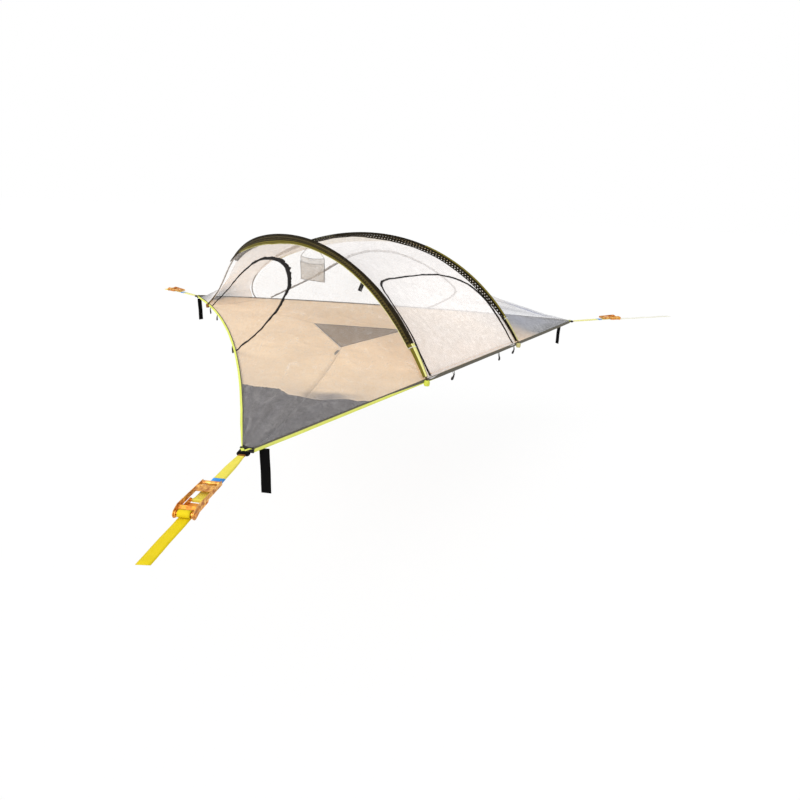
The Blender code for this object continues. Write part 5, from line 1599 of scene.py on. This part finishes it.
def make_tail(name, matrix, mats):
    """The strap that runs off to its tree, wound on the spool."""
    path = winding_path()
    bottom = path[-1][1]
    reach = TAIL_ENDS[name] - SPOOL_DISTANCES[name]
    step = np.linspace(0.0, 1.0, 7)[1:]
    start = MANDREL_RADIUS * 2
    path += [(start * share, bottom) for share in step]
    path += [(start + (TAIL_STEP_REACH - start) * share, bottom - TAIL_STEP * share) for share in step]
    far = np.linspace(TAIL_STEP_REACH, reach, max(8, int(reach / 0.02)))[1:]
    ripple = [0.0012 * math.sin((x - TAIL_STEP_REACH) * 24) * min(1.0, (x - 0.05) / 0.1) for x in far]
    path += [(x, bottom - TAIL_STEP + r) for x, r in zip(far, ripple)]
    mat = mats["grey" if name == "c" else "webbing"]
    tail = strap_object(f"tail_strap_{name}_web", path, STRAP_WIDTH, mat, slant=-0.12 if name == "a" else 0.0)
    tail.data.transform(matrix)
    finished(tail, "tent", [f"tail_strap_{name}"])


def make_short_strap(name, matrix, mats):
    """The loop between the keeper and the ratchet's bolt; returns the place of its keeper end."""
    bar_x = -SPOOL_DISTANCES[name] - CORNER_CUT + CLEARANCE + KEEPER_LENGTH - KEEPER_WALL / 2
    ends = (bar_x, -BOLT_BACK, -SPOOL_HEIGHT, -BOLT_DROP)
    rest = STRAP_THICKNESS / 2 + CLEARANCE
    bar = KEEPER_WALL / 2 * math.sqrt(2) + CLEARANCE + STRAP_THICKNESS / 2
    bolt = BOLT_RADIUS + CLEARANCE + STRAP_THICKNESS / 2
    xs = np.linspace(bar_x, -BOLT_BACK, 46)[1:-1]
    upper = [(x, run_height(x, *ends, bar, bolt, rest)) for x in xs]
    levels = -SPOOL_HEIGHT + (SPOOL_HEIGHT - BOLT_DROP) * (xs - bar_x) / (-BOLT_BACK - bar_x)
    lower = [(x, 2 * level - z) for (x, z), level in zip(upper, levels)]
    path = arc((bar_x, -SPOOL_HEIGHT), bar, 270.0, 90.0, 12) + upper
    path += arc((-BOLT_BACK, -BOLT_DROP), bolt, 90.0, -90.0, 12) + lower[::-1]
    away = np.array([x - bar_x for x, _ in path])
    widths = STRAP_WIDTH - GATHER_DEPTH * np.exp(-((away / GATHER_REACH) ** 2))
    loop = strap_object(f"short_strap_{name}_web", path, widths, mats["slack" if name == "a" else "pale"], True)
    loop.data.transform(matrix)
    finished(loop, "tent", [f"short_strap_{name}"])
    return bar_x


def make_corner_gear(mats):
    """Straps, wraps and tags at the three corners, and the looks of the frame's own nodes."""
    for name in "abc":
        matrix = corner_matrix(name)
        make_tail(name, matrix, mats)
        bar_x = make_short_strap(name, matrix, mats)
        make_corner_tip(name, matrix, mats)
        ends = [bar_x + step for step in KNOT_SPAN]
        look = (-SPOOL_HEIGHT + 0.0006, (0.0312, 0.0052), 0.0012, mats["stitch"], 0.0006)
        finished(wrap_object(f"loop_stitch_{name}", matrix, *ends, *look), "tent")
    for kind, finish in NODE_LOOKS.items():
        for name in "abc":
            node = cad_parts[f"{kind}_{name}"]
            redress(node, mats[finish])
            modifier = node.modifiers.new("edges", "BEVEL")
            modifier.width = 0.0004
            modifier.segments = 2
            modifier.limit_method = "ANGLE"
            modifier.angle_limit = math.radians(35.0)
            modifier.use_clamp_overlap = True


# Poles, sleeves and feet


class Arch:
    """Places points round the near pole, or mirrored round the far one."""

    def __init__(self, low, high, far):
        shares = even_shares(low, high, 500)
        self.centre, _, self.crown, self.side = arch_frames(shares)
        if far:
            self.centre = mirrored(self.centre)
            self.crown, self.side = mirrored(self.crown), mirrored(self.side)
        self.reach = reach_along(self.centre)
        self.length = self.reach[-1]

    def at(self, along, values):
        return sampled(along, self.reach, values)

    def place(self, along, sideways, up):
        along, sideways, up = np.broadcast_arrays(along, sideways, up)
        spot = self.at(along, self.centre)
        return spot + self.at(along, self.side) * sideways[..., None] + self.at(along, self.crown) * up[..., None]


def make_pole(name, far, mats):
    """A pole in sections, each joint with its ferrule."""
    arch = Arch(0.0, 1.0, far)
    places, radii = [], []
    joints = np.arange(POLE_SECTION, arch.length - POLE_SECTION / 2, POLE_SECTION)
    half = FERRULE_LENGTH / 2
    for place in np.linspace(0.0, arch.length, 181):
        if np.abs(joints - place).min() > half + 0.004:
            places.append(place)
            radii.append(POLE_RADIUS)
    rims = [(half, FERRULE_RADIUS), (half + FERRULE_EASE, POLE_RADIUS)]
    for joint in joints:
        for offset, radius in [(-offset, radius) for offset, radius in rims[::-1]] + rims:
            places.append(joint + offset)
            radii.append(radius)
    order = np.argsort(places)
    places, radii = np.array(places)[order], np.array(radii)[order]
    pole = tube_object(f"pole_{name}_tube", arch.place(places, 0.0, 0.0), radii, mats["pole"], 16)
    finished(pole, "tent", [f"pole_{name}"])


def sleeve_curve():
    """The sleeve's cross-section from the door's side to the outer side, as (distance across, x, z) rows."""
    half = [
        (SLEEVE_HUG * 0.85, SLEEVE_HUG * 0.70),
        (SLEEVE_HALF_WIDTH * 0.56, -SLEEVE_DROP * 0.28),
        (SLEEVE_HALF_WIDTH, -SLEEVE_DROP),
    ]
    knots = [(-x, z) for x, z in half[::-1]] + [(0.0, SLEEVE_HUG * 1.08)] + half
    fine = smooth_through(knots, 8)
    return reach_along(fine), fine[:, 0], fine[:, 1]


def skirt(surface):
    """Points at even distances down the cloth from the seam, a little off it, one row for each column."""
    rows = []
    for line in surface[:, :SKIRT_SOURCE_ROWS]:
        rows.append(sampled(np.linspace(0.0, SKIRT_REACH, SKIRT_ROWS), reach_along(line), line))
    rows = np.array(rows)
    normal = unit(np.cross(np.gradient(rows, axis=0), np.gradient(rows, axis=1)))
    outside = np.sign((normal * (rows - TENT_MIDDLE)).sum(2))[:, :, None]
    return rows + normal * outside * np.linspace(*SKIRT_LIFTS, SKIRT_ROWS)[None, :, None]


def bilinear(table, u, v):
    u = np.clip(u, 0, table.shape[0] - 1.001)
    v = np.clip(v, 0, table.shape[1] - 1.001)
    i, j = u.astype(int), v.astype(int)
    a, b = (u - i)[..., None], (v - j)[..., None]
    near = table[i, j] * (1 - b) + table[i, j + 1] * b
    far = table[i + 1, j] * (1 - b) + table[i + 1, j + 1] * b
    return near * (1 - a) + far * a


def strip_object(grid, uv, mat):
    """A part of four-sided faces through grid[along][across]."""
    index = np.arange(grid[..., 0].size).reshape(grid.shape[:2])
    faces = np.stack([index[:-1, :-1], index[1:, :-1], index[1:, 1:], index[:-1, 1:]], -1).reshape(-1, 4)
    return mesh_object("strip", grid.reshape(-1, 3), faces, mat, uv.reshape(-1, 2))


class Tunnel:
    """Places points on the sleeve: over the pole between 0 and full across, on the cloth beyond."""

    def __init__(self, low, high, far, outer, inner):
        self.arch = Arch(low, high, far)
        self.length = self.arch.length
        self.start = Arch(SEAM_SHARES[0], low, far).length
        self.whole = Arch(*SEAM_SHARES, far).length
        self.outer, self.inner = outer, inner
        self.rise = 0.0 if far else NEAR_SLEEVE_RISE
        self.fuller = FAR_SKIRT_SHARES if far else NEAR_SKIRT_SHARES
        self.narrow = (1.0, 1.0 if far else NEAR_SLEEVE_END_WIDTH)
        self.reach, self.xs, self.zs = sleeve_curve()
        self.full = self.reach[-1]

    def place(self, along, across, lift=0.0):
        along, across = np.broadcast_arrays(np.asarray(along, float), np.asarray(across, float))
        along = np.clip(along, 0.0, self.length)
        thin = np.clip(np.minimum(along, self.length - along) / SLEEVE_TAPER, 0.0, 1.0) ** 0.5
        narrow = np.interp(along / self.length, NARROWING_SHARES, self.narrow)
        thin = (0.45 + 0.55 * thin) * narrow
        x, z = np.interp(across, self.reach, self.xs), np.interp(across, self.reach, self.zs)
        middle, spread_share = SLEEVE_RISE_SHARES
        bulge = self.rise * np.exp(-(((along / self.length - middle) / spread_share) ** 2))
        z = np.where(z < 0, z * (2 * narrow - 1), z)
        over = self.arch.place(along, x * thin, z + lift + bulge * (1 - (x / SLEEVE_HALF_WIDTH) ** 2))
        column = (self.start + along) / self.whole * (len(self.outer) - 1)
        fuller = np.interp(along / self.length, SKIRT_PLACE_SHARES, self.fuller)
        for table, beyond in ((self.outer, across - self.full), (self.inner, -across)):
            step = beyond * fuller / SKIRT_REACH * (table.shape[1] - 1)
            on_cloth = bilinear(table, column, np.maximum(step, 0.0))
            on_cloth = on_cloth + self.arch.at(along, self.arch.crown) * lift
            over = np.where((beyond > 0)[..., None], on_cloth, over)
        return over

    def strip(self, low, high, count, mat, lift=0.0, part=(0.0, 1.0)):
        """A band along the sleeve between two distances across it, or along part of the sleeve."""
        start, end = part
        along = np.linspace(start * self.length, end * self.length, round(SLEEVE_STEPS * (end - start)))[:, None]
        across = np.linspace(low, high, count)[None]
        return strip_object(self.place(along, across, lift), uv_grid(along, across), mat)


def honeycomb(tunnel, low, high, pitch, wall, mat):
    """A net of six-sided holes over the tunnel, from one distance across it to another."""
    points, faces, index = [], [], {}

    def vertex(along, across):
        key = (round(along, 4), round(across, 4))
        if key not in index:
            index[key] = len(points)
            points.append(key)
        return index[key]

    turns = np.radians(30 + 60 * np.arange(6))
    columns = int(tunnel.length / pitch)
    step = tunnel.length / columns
    rows = int(round((high - low) / (pitch / math.sqrt(3) * 1.5)))
    row_step = (high - low) / rows
    for row in range(rows):
        for column in range(columns):
            x = (column + 0.5 * (row % 2) + 0.25) * step
            y = low + (row + 0.5) * row_step
            around = [(math.cos(t) * step / math.sqrt(3), math.sin(t) * row_step / 1.5) for t in turns]
            outer = [vertex(x + u, y + v) for u, v in around]
            inner = [vertex(x + u * (1 - wall), y + v * (1 - wall)) for u, v in around]
            for i in range(6):
                j = (i + 1) % 6
                faces.append((outer[i], outer[j], inner[j], inner[i]))
    flat = np.array(points)
    return mesh_object("comb", tunnel.place(flat[:, 0], flat[:, 1]), faces, mat, flat)


def make_sleeve(name, far, mats, outer, inner):
    """The pole's tunnel: a honeycomb over the crown and an olive band beside it, with pale yellow strips. The olive
    is the lime sleeve cloth painted in shade, and the far sleeve's pale yellow is that cloth painted as lit from
    behind.
    """
    tunnel = Tunnel(*SLEEVE_SHARES, far, outer, inner)
    full = tunnel.full
    comb, shaded_lime = mats["honeycomb"], mats["shaded_lime"]
    if far:
        dark_to = full + 0.016
        parts = [
            honeycomb(tunnel, -0.034, dark_to, *FAR_COMB, comb),
            tunnel.strip(-0.038, -0.031, 3, comb, 0.0005),
            tunnel.strip(0.002, full - 0.002, 8, mats["lining"], -0.0033, part=(0.0, 0.27)),
            tunnel.strip(full * 0.30, dark_to, 8, shaded_lime, 0.0016, part=(0.64, 1.0)),
            tunnel.strip(full * 0.30 - 0.004, full * 0.30, 3, comb, 0.0018, part=(0.64, 1.0)),
            tunnel.strip(full + 0.002, full + 0.056, 6, mats["lining"], -0.0045),
        ]
    else:
        dark_to = full + 0.027
        parts = [
            honeycomb(tunnel, -0.030, dark_to, *NEAR_COMB, comb),
            tunnel.strip(-0.028, dark_to, 14, mats["backing"], -0.0009),
            tunnel.strip(full * 0.80, dark_to, 8, mats["brown"], -0.0005),
            tunnel.strip(-0.036, -0.029, 3, comb, 0.0005),
            tunnel.strip(full + 0.002, full + 0.054, 6, mats["pale"], -0.0045, part=(0.12, 1.0)),
        ]
    seam, seam_to, edge = (full + step for step in SLEEVE_EDGES)
    parts += [
        tunnel.strip(dark_to - 0.002, dark_to + 0.004, 3, comb, 0.0009),
        tunnel.strip(dark_to, seam, 4, shaded_lime, 0.0004, part=(0.10, 1.0)),
        tunnel.strip(seam, seam_to, 3, comb, 0.0007),
        tunnel.strip(seam_to, edge, 4, shaded_lime, 0.0004, part=(0.10, 1.0)),
        tunnel.strip(dark_to, full + 0.050, 4, comb, 0.0004, part=(0.0, 0.10)),
    ]
    sleeve = joined(f"pole_sleeve_{name}_cloth", parts)
    thicken(sleeve, CLOTH)
    sleeve.data.shade_smooth()
    finished(sleeve, "tent", [f"pole_sleeve_{name}"])


def make_bridge(name, far, mats):
    """The net that runs on under the pole, from one canopy's seam to the other's."""
    under = Arch(*SEAM_SHARES, far)
    along = np.linspace(0.0, under.length, 193)[:, None]
    across = np.linspace(-SLEEVE_HALF_WIDTH - SEAM_OFFSET, SLEEVE_HALF_WIDTH + SEAM_OFFSET, 5)[None]
    grid = under.place(along, across, -SLEEVE_DROP - SEAM_OFFSET - 0.002 * np.cos(across / 0.032 * 1.5))
    sheet = grid_sheet(grid, uv_grid(along, across))
    bridge = sheet_object(f"canopy_bridge_{name}", sheet, mats["net"])
    finished(bridge, "tent")


def make_leg(name, far, mats):
    """The white elastic that draws the sleeve's front end tight, and the tape down the leg below it."""
    end = Arch(SLEEVE_SHARES[1] - 0.006, SLEEVE_SHARES[1] + 0.006, far)
    shares = np.linspace(-1.0, 1.0, 15)
    loop = end.place(np.full(15, end.length / 2), 0.004 + shares * LEG_REACH, 0.012 - 0.020 * shares**2)
    tie = tube_object(f"sleeve_tie_{name}", loop, SLEEVE_TIE_RADIUS, mats["white"], 8)
    finished(tie, "tent")
    leg = Arch(SLEEVE_SHARES[1] - 0.004, LEG_END_SHARE, far)
    along = np.linspace(0.0, leg.length, 50)[:, None]
    narrow = 1.0 - LEG_TAPER * (along / leg.length)
    parts = []
    middle = "leg" if far else "pale"
    # The outer strip's olive is the lime cloth painted in shade.
    for low, high, mat in ((-0.044, -0.019, "honeycomb"), (-0.019, 0.014, middle), (0.014, LEG_REACH, "shaded_lime")):
        across = np.linspace(low, high, 5)[None]
        height = 0.0085 - 0.014 * (np.abs(across) / LEG_REACH) ** 1.5
        grid = leg.place(along, across * narrow, height + 0 * along)
        parts.append(strip_object(grid, uv_grid(along, across), mats[mat]))
    tape = joined(f"leg_tape_{name}", parts)
    thicken(tape, CLOTH, -1.0)
    finished(tape, "tent")


def make_feet(name, far, mats):
    """Stitched webbing cups at the pole's two ends."""
    ends = (("back", "b", "a", BACK_FOOT_SHARE, "back_foot"), ("front", "a", "c", FRONT_FOOT_SHARE, "foot"))
    for kind, first, second, share, mat in ends:
        middle = foot_point(first, second, share)
        normal = local_normal(first, second, share)
        along = np.cross(UP, normal)
        bm = bmesh.new()
        bmesh.ops.create_cube(bm, size=1.0)
        bmesh.ops.subdivide_edges(bm, edges=bm.edges, cuts=5, use_grid_fill=True)
        for vert in bm.verts:
            x, y, z = vert.co * 2
            swell = (1 - 0.16 * y * y * x * x) * (1 - 0.10 * z * z)
            pinch = 1.0 - 0.18 * max(0.0, z) ** 2
            u = x * CUP_HALF_WIDTH * swell * pinch
            v = (y * CUP_HALF_WIDTH - CUP_SETBACK) * swell
            w = (z * CUP_HALF_HEIGHT * (1 - 0.12 * x * x - 0.10 * y * y)) - CUP_DROP
            vert.co = Vector(middle + along * u + normal * v + UP * w)
        mesh = built_mesh("cup", bm, mats["leg" if far and kind == "front" else mat])
        layer = mesh.uv_layers.new(name="cloth")
        for loop in mesh.loops:
            place = np.array(mesh.vertices[loop.vertex_index].co) - middle
            layer.data[loop.index].uv = (place @ along + place @ normal, place[2])
        mesh.shade_smooth()
        label = f"pole_foot_{kind}_{name}_cup"
        cup = linked(label, mesh)
        if far:
            model, cup = cup, mirror_object(cup, label + "_far")
            bpy.data.objects.remove(model, do_unlink=True)
            cup.name = label
        finished(cup, "tent", [f"pole_foot_{kind}_{name}"])


# Small pieces


def hanging_frame(share, radius, level):
    """A hinge under the near pole, x along the pole and z towards it, or z plumb if it is level."""
    _, tangent, crown, _ = (row[0] for row in arch_frames([share]))
    stations = even_shares(0.0, 1.0, 41)
    place = sampled(share, stations, arch_points(stations)) - crown * (POLE_RADIUS + CLEARANCE + radius)
    if level:
        tangent, crown = unit(tangent - UP * (tangent @ UP)), UP
    return frame_matrix(tangent, np.cross(crown, tangent), crown, place)


def make_pocket(mats):
    """The net gear pocket: a back with a shorter front, bound edges, hung on two cords."""
    matrix = hanging_frame(POCKET_ARCH_SHARE, POCKET_CORD_RADIUS, True)
    matrix = matrix @ Matrix.Rotation(math.radians(POCKET_TURN_DEG), 4, "Z")
    top, bottom = -POCKET_CORD - 0.030, -POCKET_CORD - POCKET_HEIGHT - 0.002
    half = POCKET_WIDTH / 2
    parts = []
    for depth, low, high in ((0.0, bottom, top), (1.0, bottom, bottom + POCKET_FRONT)):
        across, heights = np.linspace(-half, half, 21), np.linspace(low, high, 17)
        x, z = np.meshgrid(across, heights, indexing="ij")
        share, bow = (z - low) / (high - low), 1 - (x / half) ** 2
        belly = bow * np.sin(np.clip(share, 0, 1) * math.pi * 0.8 + 0.2)
        y = 0.004 * np.sin(x * 40) * share * (1 - depth * 0.5) - depth * (0.004 + POCKET_BELLY * belly)
        tuck = 1 - 0.05 * ((high - z) / (high - low)) * depth
        grid = np.stack([x * tuck, y, z - POCKET_LIP_SAG * bow * (z > high - 0.02)], -1)
        sheet = grid_sheet(grid, np.stack([x, z], -1))
        parts.append(sheet_object("panel", sheet, mats["pocket"]))
        for edge in (grid[:, -1], grid[0], grid[-1], grid[:, 0]):
            parts.append(tube_object("bind", edge, POCKET_BINDING_RADIUS, mats["cord"], 6))
    for sign in (-1, 1):
        foot = np.array([sign * (half - 0.0045), 0.0, top])
        shares = np.linspace(0.0, 1.0, 12)[:, None]
        cord = foot * shares + np.array([0.0, 0.0, 0.006]) * (1 - shares)
        parts.append(tube_object("cord", cord, POCKET_CORD_RADIUS, mats["cord"], 8))
    for part in parts:
        for key in ("fold", "mark"):
            if key not in part.data.attributes:
                part.data.attributes.new(key, "FLOAT", "POINT")
    pocket = joined("gear_pocket_net", parts)
    pocket.data.transform(matrix)
    finished(pocket, "pocket", ["gear_pocket"])


def make_door_tie(mats):
    """The black tab that holds the rolled-up door."""
    matrix = hanging_frame(DOOR_TIE_ARCH_SHARE, STRAP_THICKNESS / 2, False)
    matrix = matrix @ Matrix.Rotation(math.radians(DOOR_TIE_TURN_DEG), 4, "Z")
    shares = np.linspace(0.0, 1.0, 24)
    line = np.stack([0 * shares, 0.004 * np.sin(shares * 3), -shares * DOOR_TIE_LENGTH], 1)
    section = flat_section(DOOR_TIE_SHOWN_WIDTH, STRAP_THICKNESS)
    tie = swept_object("door_tie_web", line, X_AXIS, Y_AXIS, section, mats["black"])
    tie.data.transform(matrix)
    finished(tie, "tie_tab", ["door_tie"])


def make_hem_toggles(mats):
    """The dark toggles that hang on short elastic loops under the hems."""
    for number, (first, second, share) in enumerate(TOGGLE_PLACES):
        top = hem_point(first, second, share) - UP * (HEM_HEIGHT / 2 - 0.004)
        normal = local_normal(first, second, share)
        along = np.cross(UP, normal)
        top = top + normal * (HEM_THICKNESS / 2 + 0.0012)
        loop = []
        for turn in np.linspace(0.0, 2 * math.pi, 29)[:-1]:
            down = 1 - math.cos(turn)
            loop.append(top + along * math.sin(turn) * 0.009 - UP * down * 0.012 + normal * 0.004 * down)
        parts = [tube_object("loop", loop, TOGGLE_LOOP_RADIUS, mats["cord"], 8, True)]
        low = top - UP * 0.026 + normal * 0.008
        lean = unit(along * (0.5 if number % 2 else -0.5) - UP * 0.9)
        hook = [low + lean * step for step in np.linspace(-0.006, 0.030, 12)]
        bend = np.cross(lean, normal)
        tip = hook[-1]
        for turn in np.linspace(0.3, math.pi, 9):
            hook.append(tip + lean * 0.008 * math.sin(turn) + bend * 0.008 * (1 - math.cos(turn)))
        hook += [hook[-1] - lean * step for step in (0.005, 0.010)]
        swell = 0.0046 + 0.0022 * np.sin(np.linspace(0, math.pi, len(hook)) ** 1.2)
        parts.append(tube_object("hook", hook, swell, mats["keeper"], 10))
        toggle = joined(f"hem_toggle_{number}", parts)
        toggle.data.shade_smooth()
        finished(toggle, "tent")


def make_green_loop(mats):
    """A loop of green cord on the near left hem."""
    top = hem_point("b", "a", GREEN_LOOP_SHARE) - UP * 0.006
    normal = local_normal("b", "a", GREEN_LOOP_SHARE)
    along = np.cross(UP, normal)
    loop = []
    for turn in np.linspace(0.0, 2 * math.pi, 33)[:-1]:
        sideways = along * math.sin(turn) * 0.008
        loop.append(top + normal * 0.004 + sideways - UP * (1 - math.cos(turn)) * 0.015 + UP * 0.010)
    obj = tube_object("green_loop", loop, GREEN_LOOP_RADIUS, mats["green"], 8, True)
    finished(obj, "tent")


make_camera()
make_light()
make_stage()
MATS = make_materials()
make_floor(MATS)
make_hatch(MATS)
for hem_name, hem_ends, hem_look in (("hem_ab", "ba", "hem"), ("hem_ac", "ac", "hem_far"), ("hem_bc", "cb", "hem")):
    make_hem(hem_name, *hem_ends, MATS[hem_look], MATS)
for letter in "abc":
    make_roll_strap(letter, MATS["hem_inside"])
make_tie_straps(MATS)
SKIRTS = make_canopy(MATS)
for pole_name, is_far in (("near", False), ("far", True)):
    make_pole(pole_name, is_far, MATS)
    make_sleeve(pole_name, is_far, MATS, *SKIRTS[pole_name])
    make_bridge(pole_name, is_far, MATS)
    make_leg(pole_name, is_far, MATS)
    make_feet(pole_name, is_far, MATS)
make_corner_gear(MATS)
make_pocket(MATS)
make_door_tie(MATS)
make_hem_toggles(MATS)
make_green_loop(MATS)
